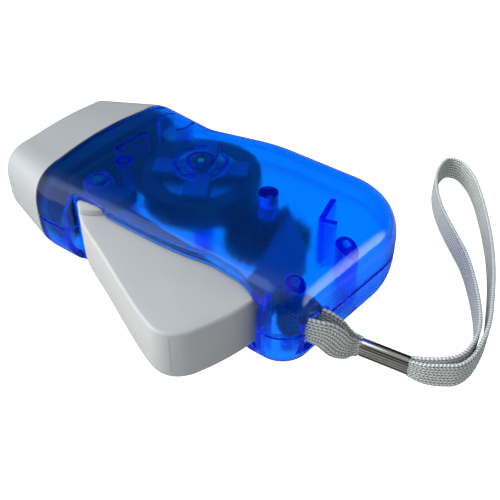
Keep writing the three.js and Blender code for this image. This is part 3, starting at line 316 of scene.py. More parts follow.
zinc = metal("zincRing", (0.09, 0.095, 0.1), 0.5, scale=180)
ferrite = mouldedPlastic("ferriteRing", (0.05, 0.05, 0.055), (0.035, 0.035, 0.04), 0.7, edge=0.1)
copper = metal("copperWinding", (0.62, 0.28, 0.14), 0.35)
chrome = metal("crimpedChrome", (0.8, 0.73, 0.66), 0.07, scale=120, edge=0.12)
clearLens = clearPlastic("clearLens", (0.94, 0.97, 1.0), 0.03)
clearEpoxy = clearPlastic("clearEpoxy", (0.95, 0.96, 1.0), 0.05, milk=0.35)
silvered = metal("silveredCups", (0.86, 0.87, 0.88), 0.16, stretch=(1, 1, 1), scale=90, edge=0.1)
print("stage: materials made")


# Mesh helpers: closed solids in millimetres, joined and cut as solids
def bare(name, points, faces, slots, face=0):
    mesh = bpy.data.meshes.new(name)
    mesh.from_pydata([Vector(point) * mm for point in points], [], faces)
    for material in slots:
        mesh.materials.append(material)
    mesh.polygons.foreach_set("material_index", [face] * len(mesh.polygons))
    return placed(name, mesh)


def drop(piece):
    bpy.data.objects.remove(piece, do_unlink=True)


def finishedMesh(piece):
    graph = bpy.context.evaluated_depsgraph_get()
    return bpy.data.meshes.new_from_object(piece.evaluated_get(graph))


def baked(piece):
    mesh = finishedMesh(piece)
    piece.modifiers.clear()
    piece.data = mesh
    return piece


def cutOrJoined(piece, operation, tools):
    for tool in tools:
        step = piece.modifiers.new(operation, "BOOLEAN")
        step.operation = operation
        step.solver = "MANIFOLD"
        step.object = tool
    baked(piece)
    for tool in tools:
        drop(tool)
    return piece


def minus(piece, *tools):
    return cutOrJoined(piece, "DIFFERENCE", tools)


def plus(piece, *tools):
    return cutOrJoined(piece, "UNION", tools)


def common(piece, *tools):
    return cutOrJoined(piece, "INTERSECT", tools)


def copied(piece):
    return placed(piece.name, piece.data.copy())


def recoloured(piece, material):
    piece.data.materials.clear()
    piece.data.materials.append(material)
    piece.data.polygons.foreach_set("material_index", [0] * len(piece.data.polygons))
    return piece


def smooth(piece, angle=28):
    piece.data.shade_smooth()
    piece.data.set_sharp_from_angle(angle=math.radians(angle))
    return piece


def rings(name, levels, slots, face=0):
    count = len(levels[0])
    faces = []
    for k in range(len(levels) - 1):
        for i in range(count):
            j = (i + 1) % count
            faces.append((k * count + i, k * count + j, (k + 1) * count + j, (k + 1) * count + i))
    faces.append(tuple(reversed(range(count))))
    faces.append(tuple((len(levels) - 1) * count + i for i in range(count)))
    return bare(name, [point for level in levels for point in level], faces, slots, face)


def prism(points, low, high, slots=(), face=0):
    area = sum(a[0] * b[1] - b[0] * a[1] for a, b in zip(points, points[1:] + points[:1]))
    outline = points if area > 0 else points[::-1]
    return rings("prism", [[(x, y, z) for x, y in outline] for z in (low, high)], slots, face)


def block(low, high, slots=(), face=0):
    return prism([(low[0], low[1]), (high[0], low[1]), (high[0], high[1]), (low[0], high[1])],
                 low[2], high[2], slots, face)


def polar(place, radius, angle):
    turn = math.radians(angle)
    return (place[0] + radius * math.cos(turn), place[1] + radius * math.sin(turn))


def arc(place, radius, start, end, facet=5):
    steps = max(2, math.ceil(abs(end - start) / facet))
    return [polar(place, radius, start + (end - start) * i / steps) for i in range(steps + 1)]


def disc(place, radius, low, high, slots=(), face=0, facet=7.5):
    return prism(arc(place, radius, 0, 360 - facet, facet), low, high, slots, face)


def sector(place, radius, start, end, low, high, slots=(), face=0):
    return prism([tuple(place)] + arc(place, radius, start, end, 3), low, high, slots, face)


def wallAlong(first, second, wall, low, high, slots=(), face=0):
    ahead = (Vector(second) - Vector(first)).normalized() * wall / 2
    side = Vector((-ahead.y, ahead.x))
    return prism([tuple(Vector(first) + side), tuple(Vector(first) - side), tuple(Vector(second) - side),
                  tuple(Vector(second) + side)], low, high, slots, face)


def curvedWall(place, inner, wall, start, end, low, high, slots=(), face=0):
    outline = arc(place, inner + wall, start, end) + arc(place, inner, end, start)
    return prism(outline, low, high, slots, face)


def turned(name, profile, slots=(), steps=40, axis="Z", place=(0, 0, 0)):
    turn = Matrix.Rotation(math.radians(90), 4, "Y") if axis == "X" else Matrix.Identity(4)
    shift = Matrix.Translation(place)
    around = [2 * math.pi * i / steps for i in range(steps)]
    levels = []
    for radius, height in profile[1:-1]:
        ring = [Vector((radius * math.cos(angle), radius * math.sin(angle), height)) for angle in around]
        levels.append([tuple(shift @ turn @ point) for point in ring])
    return rings(name, levels, slots)


def roundedOutline(corners, facet):
    points = []
    for i, (x, y, radius) in enumerate(corners):
        before, after = corners[i - 1], corners[(i + 1) % len(corners)]
        if not radius:
            points.append((x, y))
            continue
        here = Vector((x, y))
        back = (Vector(before[:2]) - here).normalized()
        ahead = (Vector(after[:2]) - here).normalized()
        half = math.acos(back.dot(ahead)) / 2
        centre = here + (back + ahead).normalized() * radius / math.sin(half)
        start = here + back * radius / math.tan(half) - centre
        end = here + ahead * radius / math.tan(half) - centre
        first = math.degrees(math.atan2(start.y, start.x))
        last = math.degrees(math.atan2(end.y, end.x))
        if last - first > 180:
            last -= 360
        if first - last > 180:
            last += 360
        points += arc(centre, radius, first, last, facet)
    return points


def drawnIn(points, distance):
    moved = []
    for i, here in enumerate(points):
        before, after = points[i - 1], points[(i + 1) % len(points)]
        first = Vector((before[1] - here[1], here[0] - before[0])).normalized()
        second = Vector((here[1] - after[1], after[0] - here[0])).normalized()
        normal = (first + second).normalized()
        shift = distance / normal.dot(second)
        moved.append((here[0] + normal.x * shift, here[1] + normal.y * shift))
    return moved


def flowing(points, steps):
    # A smooth line through given points
    out = []
    for i in range(len(points) - 1):
        corners = [Vector(points[max(0, min(len(points) - 1, i + k))]) for k in (-1, 0, 1, 2)]
        for j in range(steps):
            t = j / steps
            out.append(tuple(0.5 * (2 * corners[1] + (corners[2] - corners[0]) * t
                       + (2 * corners[0] - 5 * corners[1] + 4 * corners[2] - corners[3]) * t * t
                       + (3 * corners[1] - corners[0] - 3 * corners[2] + corners[3]) * t ** 3)))
    out.append(tuple(points[-1]))
    return out


# Case form: an outline in shares of the half length and width, drawn in along rolled edges
case = {
    "halfLength": 51.6, "halfWidth": 29.3, "thickness": 25.5, "wall": 1.8, "roll": 12, "baseRoll": 9,
    "crown": 0.65, "spineSide": -3.5, "spineEnd": 25.8, "spineSpan": 28, "taperStart": 34, "taper": 0.15,
    "outline": [(1.24, 0.573, 0), (0.64, 0.867, 0.7), (-0.934, 0.778, 0.273), (-1.027, -1.14, 0.648),
                (-0.116, -1.133, 1.2), (0.262, -0.928, 0.35), (0.649, -1, 0.35), (1.24, -0.512, 0)],
    "facet": 3, "rollSteps": 12, "rollPower": 2 / 3,
    "crownReach": 2.05, "crownSteps": 8, "crownPower": 1.42,
}
middle = case["thickness"] / 2
far = case["halfLength"] * 2
full = case["thickness"] + overrun
caseOutline = roundedOutline(
    [(x * case["halfLength"], y * case["halfWidth"], r * case["halfWidth"]) for x, y, r in case["outline"]],
    case["facet"])


def rollLevels(reach, height):
    levels = []
    for i in range(1, case["rollSteps"] + 1):
        turn = math.pi / 2 * i / case["rollSteps"]
        inward = 1 - math.cos(turn) ** case["rollPower"]
        levels.append((reach * inward, height * math.sin(turn) ** case["rollPower"]))
    return levels


def crownLevels(reach, height):
    levels = []
    for i in range(1, case["crownSteps"] + 1):
        share = 1 + (case["crownReach"] - 1) * i / case["crownSteps"]
        t = (case["crownReach"] - share) / (case["crownReach"] - 1)
        levels.append((share * reach, height + case["crown"] * (1 - t ** case["crownPower"])))
    return levels


def caseForm(distance, slots=(), face=0):
    outline = drawnIn(caseOutline, distance) if distance else caseOutline
    reach = case["roll"] - distance / 2
    rise = middle - case["crown"] - distance
    above = rollLevels(reach, rise) + crownLevels(reach, rise)
    below = rollLevels(case["baseRoll"] - distance / 2, middle - distance)
    levels = []
    for inward, height in [(d, -h) for d, h in reversed(below)] + [(0, 0)] + above:
        share = inward / case["spineSpan"]
        level = []
        for x, y in outline:
            towards = max(x, -case["spineEnd"])
            level.append((x + (towards - x) * share, y + (case["spineSide"] - y) * share, middle + height))
        levels.append(level)
    body = rings("form", levels, slots, face)
    rear = common(copied(body), block((-far, -far, -far), (case["taperStart"], far, far), slots, face))
    nose = common(body, block((case["taperStart"], -far, -far), (far, far, far), slots, face))
    for vertex in nose.data.vertices:
        ahead = (vertex.co.x / mm - case["taperStart"]) / (case["halfLength"] - case["taperStart"])
        vertex.co.z = middle * mm + (vertex.co.z - middle * mm) * (1 - case["taper"] * ahead)
    return plus(rear, nose)


bothBlues = (translucentBlue, translucentBlue)  # the second slot marks inner faces while the solids are cut
outerForm = common(caseForm(0, bothBlues, 0),
                   block((-far, -far, -far), (case["halfLength"], far, far), bothBlues, 0))
innerForm = caseForm(case["wall"], bothBlues, 1)
print("stage: case form made")

nose = {
    "seam": 35.6, "bow": 2.9, "bowSteps": 30, "lensThickness": 1.8, "lensInset": 0.5, "ledgeWidth": 1.5,
    "ledgeDepth": 1,
}


def noseZone(shift, slots=(), face=0):
    side = case["halfWidth"] + overrun
    edge = []
    for i in range(2 * nose["bowSteps"] + 1):
        y = side * (1 - i / nose["bowSteps"])
        edge.append((nose["seam"] + shift - nose["bow"] * (y / case["halfWidth"]) ** 2, y))
    return prism(edge + [(far, -side), (far, side)], -overrun, full, slots, face)


# Lever sizes, and its slot in the shells. The face is in shares of the reach, for the closed lever.
lever = {
    "pivot": (20.8, 13.2), "reach": 58.4, "open": 19.5, "thickness": 14.3, "wall": 1.7, "clearance": 0.5,
    "hub": 4.2, "knuckle": 10.9, "knuckleRise": 1.7, "knuckleRoom": 0.5, "knuckleFrom": 106.5,
    "knuckleTo": 200, "reliefFrom": 88, "plateEdge": 176, "pin": 1.8, "soft": 0.9, "knuckleSoft": 0.5,
    "tip": 4.5, "mouth": 10, "peg": 1.2, "pegReach": 12, "pegAngle": 129.5,
    "faceSteps": 6, "rimFacet": 1.5, "hollowFacet": 2, "knuckleFacet": 3,
    "face": [(-0.051, 0.135), (-0.178, 0.17), (-0.409, 0.185), (-0.596, 0.2), (-0.774, 0.211),
             (-0.904, 0.207), (-0.978, 0.19)],
}
pivot = lever["pivot"]
leverLow = middle - lever["thickness"] / 2
leverHigh = middle + lever["thickness"] / 2
knuckleLow = leverLow - lever["knuckleRise"]
knuckleHigh = leverHigh + lever["knuckleRise"]
roomLow = knuckleLow - lever["knuckleRoom"]
roomHigh = knuckleHigh + lever["knuckleRoom"]
slot = {
    "jambLead": 1.1, "jambRound": 3, "jambWall": 1.8, "jambDepth": 4.5, "runout": 1.2, "skirt": 1.4,
    "jambSide": 0.857, "jambRoot": 0.635, "windowSide": 0.56, "skirtStart": 3, "lipSteps": 5,
    "lip": [(-0.019, 0.737), (0.055, 0.71), (0.111, 0.7), (0.176, 0.713), (0.298, 0.713), (0.471, 0.703),
            (0.615, 0.679), (0.729, 0.642), (0.82, 0.648), (0.887, 0.659), (0.945, 0.7), (0.991, 0.744),
            (1.0205, 0.761)],
    "strapLow": 5.6, "strapHigh": 15.6,
    "strap": [(-0.83, 0.345), (-0.83, 0.6), (-1.04, 0.573), (-1.04, 0.27)],
}
slotHigh = leverHigh + lever["clearance"]
slotLow = leverLow - lever["clearance"]
frontJamb = pivot[0] + slot["jambLead"]
rearJamb = pivot[0] - lever["reach"] - slot["runout"]
jambSide = slot["jambSide"] * case["halfWidth"]
lipLine = [(pivot[0] - x * lever["reach"], y * case["halfWidth"]) for x, y in slot["lip"]]


def slotTool():
    outside = case["halfWidth"] + overrun
    corner = (frontJamb + slot["jambRound"], jambSide - slot["jambRound"])
    lip = flowing(lipLine, slot["lipSteps"])[::-1]
    outline = [(rearJamb, outside)] + lip + arc(corner, slot["jambRound"], 180, 90) + [(corner[0], outside)]
    return prism(outline, -overrun, full, bothBlues, 1)


def skirtWall(low, high):
    outer = flowing(lipLine[slot["skirtStart"]:], slot["lipSteps"])
    inner = [(x, y - slot["skirt"]) for x, y in outer]
    return common(prism(outer + inner[::-1], low, high, bothBlues, 1), copied(outerForm))


def jambs():
    front = block((frontJamb, jambSide - slot["jambDepth"], -overrun),
                  (frontJamb + slot["jambWall"], case["halfWidth"], full), bothBlues, 1)
    rear = block((rearJamb - slot["skirt"], slot["jambRoot"] * case["halfWidth"], -overrun),
                 (rearJamb, case["halfWidth"], full), bothBlues, 1)
    return common(plus(front, rear), copied(outerForm))


def kneeRoom():
    return sector(pivot, lever["knuckle"] + lever["clearance"], lever["reliefFrom"],
                  lever["knuckleTo"] + lever["open"], roomLow, roomHigh, bothBlues, 1)


def windowTool():
    side = slot["windowSide"] * case["halfWidth"]
    return block((rearJamb, side, slotLow), (frontJamb, far, slotHigh), bothBlues, 1)


def inCase(shares):
    return (shares[0] * case["halfLength"], shares[1] * case["halfWidth"])


def strapTool():
    outline = [inCase(point) for point in slot["strap"]]
    return prism(outline, slot["strapLow"], slot["strapHigh"], bothBlues, 1)


# Posts, bosses and ribs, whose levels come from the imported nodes
def centreOf(node):
    low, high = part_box(node)
    return ((low.x + high.x) / 2 / mm, (low.y + high.y) / 2 / mm)


def topOf(node):
    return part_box(node)[1].z / mm


def baseOf(node):
    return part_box(node)[0].z / mm


posts = {
    "radius": 2.6, "thin": 2.2, "foot": 2.8, "meeting": 6.4, "hole": 1.2, "holeTop": 23.3, "head": 2.2,
    "headDepth": 2.4, "boss": 3.2, "axleHole": 1.3, "bush": 2.9, "bushWall": 1.1,
    "peg": 0.9, "pegReach": 11.3, "pegAngle": 131,
}
ribs = {
    "base": 17.5, "ring": 7.6, "ringWall": 0.9, "ringSpans": [(-62, 22), (42, 118), (150, 262)],
    "cell": 4.5, "cellWall": 0.7, "cellSpans": [(-45, 45), (135, 225)], "cellTop": 6.6,
    "rail": (0.034, -0.324), "railWall": 1.0, "vFoot": 9, "vWall": 1.4,
    "v": [((-0.647, -0.57), (-0.692, -0.259)), ((-0.692, -0.259), (-0.762, -0.311))],
}
rotor = centreOf("rotor_axle")
drive = centreOf("drive_axle")
idler = centreOf("idler_axle")
cell = centreOf("cell_stack")
screwPlaces = [centreOf(f"case_screw_{i}") for i in (1, 2, 3)]
screwPosts = list(zip(screwPlaces, (posts["radius"], posts["thin"], posts["thin"])))
bridgePlaces = [centreOf(f"bridge_screw_{i}") for i in (1, 2)]
pegPlace = polar(rotor, posts["pegReach"], posts["pegAngle"])
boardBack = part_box("led_board")[0].x / mm


def hung(place, radius, low):
    return disc(place, radius, low, full, bothBlues, 1)


def stood(place, radius, high):
    return disc(place, radius, -overrun, high, bothBlues, 1)


def bored(place, radius, low, high):
    return disc(place, radius, low, high, bothBlues)


def inForm(parts):
    return common(plus(parts[0], *parts[1:]), copied(outerForm))


def cellHolders(low, high):
    return [curvedWall(cell, ribs["cell"], ribs["cellWall"], start, end, low, high, bothBlues, 1)
            for start, end in ribs["cellSpans"]]


def roofRibs():
    wall, base = ribs["railWall"], ribs["base"]
    parts = [wallAlong(inCase(a), inCase(b), ribs["vWall"], ribs["vFoot"], full, bothBlues, 1)
             for a, b in ribs["v"]]
    railX = boardBack - gap - wall / 2
    railFrom, railTo = [y * case["halfWidth"] for y in ribs["rail"]]
    parts.append(wallAlong((railX, railFrom), (railX, railTo), wall, base, full, bothBlues, 1))
    for y in (railFrom, railTo):
        parts.append(wallAlong((railX, y), (railX - 2 * wall, y), wall, base, full, bothBlues, 1))
    for start, end in ribs["ringSpans"]:
        parts.append(curvedWall(rotor, ribs["ring"] - ribs["ringWall"], ribs["ringWall"], start, end,
                                baseOf("axle_bush"), full, bothBlues, 1))
    return parts + cellHolders(base, full)


# Groove along the parting line
seam = {"depth": 0.6, "height": 1.0}


def seamGroove():
    half = seam["height"] / 2
    band = block((-far, -far, middle - half), (far, far, middle + half), bothBlues)
    return minus(band, caseForm(seam["depth"], bothBlues))


def shellWalls():
    return minus(copied(outerForm), copied(innerForm), noseZone(-gap / 2, bothBlues, 1), seamGroove())


def halfShell(low, high, skirtLow, skirtHigh):
    half = block((-far, -far, low), (far, far, high), bothBlues, 1)
    shell = plus(shellWalls(), jambs(), skirtWall(skirtLow, skirtHigh))
    shell = common(minus(shell, noseZone(-gap / 2, bothBlues, 1)), half)
    return minus(shell, windowTool(), strapTool())


def upperShell():
    shell = halfShell(middle + gap / 2, far, slotHigh, full)
    parts = [hung(pivot, posts["boss"], roomHigh),
             hung(rotor, posts["bush"] + posts["bushWall"], baseOf("axle_bush")),
             hung(drive, posts["radius"], topOf("drive_pinion") + gap)]
    parts += [hung(place, radius, posts["meeting"] + gap) for place, radius in screwPosts]
    shell = plus(shell, inForm(parts + roofRibs()))
    holes = [bored(pivot, lever["pin"], 0, topOf("pivot_pin") + gap),
             bored(rotor, posts["bush"], 0, topOf("axle_bush") + gap),
             bored(drive, posts["axleHole"], 0, topOf("drive_axle") + gap)]
    holes += [bored(place, posts["hole"], 0, posts["holeTop"]) for place in screwPlaces]
    return minus(shell, slotTool(), kneeRoom(), *holes)


def lowerShell():
    shell = halfShell(-far, middle - gap / 2, -overrun, slotLow)
    bridgeBase = baseOf("bridge_plate")
    parts = [stood(pivot, posts["boss"], roomLow)]
    for place, node in ((drive, "ratchet_gear"), (idler, "idler_gear"), (rotor, "rotor_pinion")):
        parts.append(stood(place, posts["radius"], baseOf(node) - gap))
    parts.append(stood(pegPlace, posts["radius"], bridgeBase - gap))
    parts.append(stood(pegPlace, posts["peg"], topOf("bridge_plate")))
    parts += [stood(place, posts["foot"], posts["meeting"]) for place in screwPlaces]
    parts += [stood(place, posts["radius"], bridgeBase - gap) for place in bridgePlaces]
    shell = plus(shell, inForm(parts + cellHolders(-overrun, ribs["cellTop"])))
    foot = baseOf("rotor_axle") - gap
    holes = [bored(pivot, lever["pin"], foot, full)]
    holes += [bored(place, posts["axleHole"], foot, full) for place in (drive, idler, rotor)]
    for place in screwPlaces:
        holes.append(bored(place, posts["hole"], -overrun, full))
        holes.append(bored(place, posts["head"], -overrun, posts["headDepth"]))
    holes += [bored(place, posts["hole"], baseOf("bridge_screw_1") - gap, full) for place in bridgePlaces]
    return minus(shell, slotTool(), kneeRoom(), *holes)


def facesMarked(piece):
    # The second slot becomes the innerFace attribute, and one blue is left
    mesh = piece.data
    side = [0] * len(mesh.polygons)
    mesh.polygons.foreach_get("material_index", side)
    mesh.attributes.new("innerFace", "FLOAT", "FACE").data.foreach_set("value", [float(v) for v in side])
    return recoloured(piece, translucentBlue)


def dressed(piece, name, body, slotName, *nodes):
    piece.name = name
    piece.data.name = name
    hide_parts(*nodes)
    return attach(piece, body)


dressed(smooth(facesMarked(upperShell())), "upperShell", "case", "translucent_blue", "upper_shell")
print("stage: upper shell made")
dressed(smooth(facesMarked(lowerShell())), "lowerShell", "case", "translucent_blue", "lower_shell")
print("stage: lower shell made")


# Nose cap, lens and reflector
def slab(low, high):
    return block((low, -far, -far), (high, far, far))


lensFront = case["halfLength"] - nose["lensInset"]
ledgeFront = lensFront - nose["lensThickness"] - gap


def noseCap():
    ledge = common(slab(ledgeFront - nose["ledgeDepth"], ledgeFront), copied(outerForm))
    ledge = minus(ledge, caseForm(case["wall"] + nose["ledgeWidth"]))
    shell = plus(minus(copied(outerForm), copied(innerForm)), ledge)
    return recoloured(common(shell, noseZone(gap / 2)), capGrey)


def lensWindow():
    pane = common(caseForm(case["wall"] + gap), slab(lensFront - nose["lensThickness"], lensFront))
    return recoloured(pane, clearLens)


dressed(smooth(noseCap()), "noseCap", "case", "pale_grey", "nose_cap")
dressed(smooth(lensWindow()), "lensWindow", "case", "clear_lens", "lens")

reflector = {
    "back": 30.3, "bore": 2.8, "cup": 4.7, "cupStart": 34.5, "cupSteps": 12, "swell": 0.6, "flat": 0.98,
}
led = {"flange": 2.8, "flangeFront": 0.9, "shoulder": 1.0, "radius": 2.5, "domeSteps": 10, "tip": 0.15}
ledSides = [centreOf(f"led_{i}")[1] for i in (1, 2, 3)]


def reflectorBlock():
    front = ledgeFront - nose["ledgeDepth"] - gap
    body = common(caseForm(case["wall"] + gap), slab(reflector["back"], front))
    depth, start = front - reflector["back"], reflector["cupStart"] - reflector["back"]
    bore, widening = reflector["bore"], reflector["cup"] - reflector["bore"]
    profile = [(0, -overrun), (bore, -overrun), (bore, start)]
    for i in range(1, reflector["cupSteps"] + 1):
        t = i / reflector["cupSteps"]
        swell = 1 - reflector["swell"] + reflector["swell"] * t
        profile.append((bore + widening * math.sqrt(t) * swell, start + (depth - start) * t))
    profile += [(reflector["cup"], depth + overrun), (0, depth + overrun)]
    cups = [turned("cup", profile, axis="X", place=(reflector["back"], side, middle)) for side in ledSides]
    body = recoloured(minus(body, *cups), darkReflector)
    # The walls of the cups are silvered, all faces there that do not look straight ahead or back
    body.data.materials.append(silvered)
    for face in body.data.polygons:
        y, z = face.center.y / mm, face.center.z / mm - middle
        inCup = any(math.hypot(y - side, z) < reflector["cup"] for side in ledSides)
        if inCup and abs(face.normal.x) < reflector["flat"]:
            face.material_index = 1
    return body


def ledBulb(number, side):
    low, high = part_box(f"led_{number}")
    length, radius = (high.x - low.x) / mm, led["radius"]
    profile = [(0, 0), (led["flange"], 0), (led["flange"], led["flangeFront"]), (radius, led["shoulder"])]
    for i in range(led["domeSteps"]):
        a = math.pi / 2 * i / led["domeSteps"]
        profile.append((radius * math.cos(a), length - radius + radius * math.sin(a)))
    profile += [(led["tip"], length), (0, length)]
    return turned("led", profile, (clearEpoxy,), axis="X", place=(low.x / mm, side, middle))


dressed(smooth(reflectorBlock()), "reflectorBlock", "case", "dark_reflector", "reflector")
for number, side in enumerate(ledSides, 1):
    dressed(smooth(ledBulb(number, side)), f"ledBulb{number}", "case", "led_clear", f"led_{number}")
print("stage: nose made")


# Squeeze lever, standing open
def openPoint(x, y):
    reach, angle = math.hypot(x, y) * lever["reach"], math.degrees(math.atan2(y, x))
    return polar(pivot, reach, angle - lever["open"])


def bearing(first, second):
    return math.degrees(math.atan2(second[1] - first[1], second[0] - first[0])) % 360


def softened(piece, width, angle=30, segments=4):
    bevel = piece.modifiers.new("soft", "BEVEL")
    bevel.width = width * mm
    bevel.segments = segments
    bevel.limit_method = "ANGLE"
    bevel.angle_limit = math.radians(angle)
    return baked(piece)


def eased(first, second, reach, steps=12):
    # Joins two lines whose ends meet at a corner by a round bend
    corner = Vector(first[-1])
    start = [p for p in first if (Vector(p) - corner).length > reach]
    end = [p for p in second if (Vector(p) - corner).length > reach]
    leave, meet = Vector(start[-1]), Vector(end[0])
    bend = []
    for i in range(1, steps):
        t = i / steps
        bend.append(tuple(leave * (1 - t) ** 2 + corner * 2 * t * (1 - t) + meet * t * t))
    return start + bend + end


def squeezeLever():
    grey = (paleGrey,)
    wall, reach = lever["wall"], lever["reach"]
    knuckle, knuckleTo, plateEdge = lever["knuckle"], lever["knuckleTo"], lever["plateEdge"]
    face = flowing([openPoint(x, y) for x, y in lever["face"]], lever["faceSteps"])
    tail = bearing(pivot, face[-1])
    back = arc(pivot, reach, tail, plateEdge, lever["rimFacet"])
    outline = [tuple(pivot)] + eased(face, back, lever["tip"])
    body = softened(prism(outline, leverLow, leverHigh, grey), lever["soft"])
    outline = [tuple(pivot), face[0]]
    outline += arc(pivot, knuckle, lever["knuckleFrom"], knuckleTo, lever["knuckleFacet"])
    cheeks = prism(outline, knuckleLow, knuckleHigh, grey)
    cheeks = softened(cheeks, lever["knuckleSoft"], angle=50, segments=2)
    low, high = leverLow + wall, leverHigh - wall
    moved = drawnIn([tuple(pivot)] + face + [polar(pivot, reach, plateEdge)], wall)[1:-2]
    first = tail + math.degrees(wall / reach)
    outline = [tuple(pivot)] + moved + arc(pivot, reach - wall, first, knuckleTo, lever["hollowFacet"])
    hollow = prism(outline, low, high, grey)
    knee = disc(pivot, knuckle - wall, low, high, grey)
    margin = lever["mouth"]
    mouth = sector(pivot, knuckle + wall, plateEdge - margin, knuckleTo + margin, low, high, grey)
    body = minus(plus(body, cheeks), hollow, knee, mouth)
    pegSpot = polar(pivot, lever["pegReach"], lever["pegAngle"])
    peg = disc(pegSpot, lever["peg"], low - gap, high + gap, grey)
    hub = disc(pivot, lever["hub"], knuckleLow, knuckleHigh, grey)
    body = plus(body, hub, peg, toothedStrip(grey, tail))
    return minus(body, bored(pivot, lever["pin"], 0, full))


# Inward teeth of the lever's arc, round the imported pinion
teeth = {
    "module": 0.8, "arc": 123, "above": 0.62, "below": 0.92, "backlash": 0.3, "pressure": 20, "spread": 1.2,
    "start": 186, "end": 214, "outerEnd": 196, "angle": 208.5, "tailGap": 1, "rim": 2, "base": 9.6,
    "height": 6.9,
}


def toothedStrip(slots, tail):
    pitch = teeth["arc"] * teeth["module"] / 2
    root, tip = pitch + teeth["below"], pitch - teeth["above"]
    half = (math.pi * teeth["module"] - teeth["backlash"]) / 4
    slope = math.tan(math.radians(teeth["pressure"]))
    rootHalf = math.degrees(min(half + teeth["below"] * slope, half * teeth["spread"]) / pitch)
    tipHalf = math.degrees((half - teeth["above"] * slope) / tip)
    step = 360 / teeth["arc"]
    edge = []
    k = math.floor((teeth["end"] - rootHalf - teeth["angle"]) / step - 0.5)
    while teeth["angle"] + (k + 0.5) * step > teeth["start"]:
        at = teeth["angle"] + (k + 0.5) * step
        edge += [polar(pivot, root, at + rootHalf), polar(pivot, tip, at + tipHalf),
                 polar(pivot, tip, at - tipHalf), polar(pivot, root, at - rootHalf)]
        k -= 1
    tail += math.degrees(lever["tip"] / lever["reach"]) + teeth["tailGap"]
    outline = arc(pivot, lever["reach"] - gap, tail, teeth["outerEnd"], lever["hollowFacet"])
    outline += [polar(pivot, root, teeth["end"])] + edge
    outline += arc(pivot, root, teeth["start"] - teeth["rim"], tail, lever["hollowFacet"])
    return prism(outline, teeth["base"], teeth["base"] + teeth["height"], slots)


dressed(smooth(squeezeLever()), "squeezeLever", "lever", "pale_grey", "squeeze_lever")
print("stage: lever made")


# Geometry node trees: a round wire or a flat tape along a route, and copies stood on points
def newTree(name, *inputs):
    tree = bpy.data.node_groups.new(name, "GeometryNodeTree")
    tree.interface.new_socket("Geometry", in_out="INPUT", socket_type="NodeSocketGeometry")
    for label, kind in inputs:
        tree.interface.new_socket(label, in_out="INPUT", socket_type=kind)
    tree.interface.new_socket("Material", in_out="INPUT", socket_type="NodeSocketMaterial")
    tree.interface.new_socket("Geometry", in_out="OUTPUT", socket_type="NodeSocketGeometry")
    return tree, tree.nodes.new("NodeGroupInput")


def wired(tree, *joints):
    for source, output, target, entry in joints:
        tree.links.new(source.outputs[output], target.inputs[entry])


def painted(tree, start, last, output):
    paint = tree.nodes.new("GeometryNodeSetMaterial")
    end = tree.nodes.new("NodeGroupOutput")
    wired(tree, (last, output, paint, "Geometry"), (start, "Material", paint, "Material"),
          (paint, "Geometry", end, "Geometry"))
    return tree


def sweepNode(tree):
    sweep = tree.nodes.new("GeometryNodeCurveToMesh")
    sweep.inputs["Fill Caps"].default_value = True
    return sweep


def wireTree():
    tree, start = newTree("roundWire", ("Radius", "NodeSocketFloat"), ("Sides", "NodeSocketInt"))
    section = tree.nodes.new("GeometryNodeCurvePrimitiveCircle")
    sweep = sweepNode(tree)
    wired(tree, (start, "Radius", section, "Radius"), (start, "Sides", section, "Resolution"),
          (start, "Geometry", sweep, "Curve"), (section, "Curve", sweep, "Profile Curve"))
    return painted(tree, start, sweep, "Mesh")


tapeSection = {"filletSteps": 4, "points": 48}


def tapeTree():
    tree, start = newTree("flatTape", ("Thickness", "NodeSocketFloat"), ("Width", "NodeSocketFloat"),
                          ("Edge", "NodeSocketFloat"))
    section = tree.nodes.new("GeometryNodeCurvePrimitiveQuadrilateral")
    fillet = tree.nodes.new("GeometryNodeFilletCurve")
    fillet.mode = "POLY"
    fillet.inputs["Count"].default_value = tapeSection["filletSteps"]
    dense = tree.nodes.new("GeometryNodeResampleCurve")
    dense.inputs["Count"].default_value = tapeSection["points"]
    upright = tree.nodes.new("GeometryNodeSetCurveNormal")
    upright.mode = "Z_UP"
    sweep = sweepNode(tree)
    along = tree.nodes.new("GeometryNodeSplineParameter")
    ahead = tree.nodes.new("GeometryNodeInputTangent")
    side = tree.nodes.new("GeometryNodeInputNormal")
    downward = tree.nodes.new("ShaderNodeVectorMath")
    downward.operation = "CROSS_PRODUCT"
    place = tree.nodes.new("GeometryNodeInputPosition")
    parts = tree.nodes.new("ShaderNodeSeparateXYZ")

    def kept(geometry, name, value, kind="FLOAT"):
        store = tree.nodes.new("GeometryNodeStoreNamedAttribute")
        store.data_type = kind
        store.inputs["Name"].default_value = name
        tree.links.new(geometry, store.inputs["Geometry"])
        tree.links.new(value, store.inputs["Value"])
        return store.outputs["Geometry"]

    tree.links.new(ahead.outputs["Tangent"], downward.inputs[0])
    tree.links.new(side.outputs["Normal"], downward.inputs[1])
    wired(tree, (start, "Geometry", upright, "Curve"), (start, "Thickness", section, "Width"),
          (start, "Width", section, "Height"), (section, "Curve", fillet, "Curve"),
          (start, "Edge", fillet, "Radius"), (fillet, "Curve", dense, "Curve"),
          (place, "Position", parts, "Vector"))
    route = kept(upright.outputs["Curve"], "tapeAlong", along.outputs["Length"])
    route = kept(route, "tapeDown", downward.outputs["Vector"], "FLOAT_VECTOR")
    outline = kept(dense.outputs["Curve"], "tapeAcross", parts.outputs["Y"])
    tree.links.new(route, sweep.inputs["Curve"])
    tree.links.new(outline, sweep.inputs["Profile Curve"])
    return painted(tree, start, sweep, "Mesh")


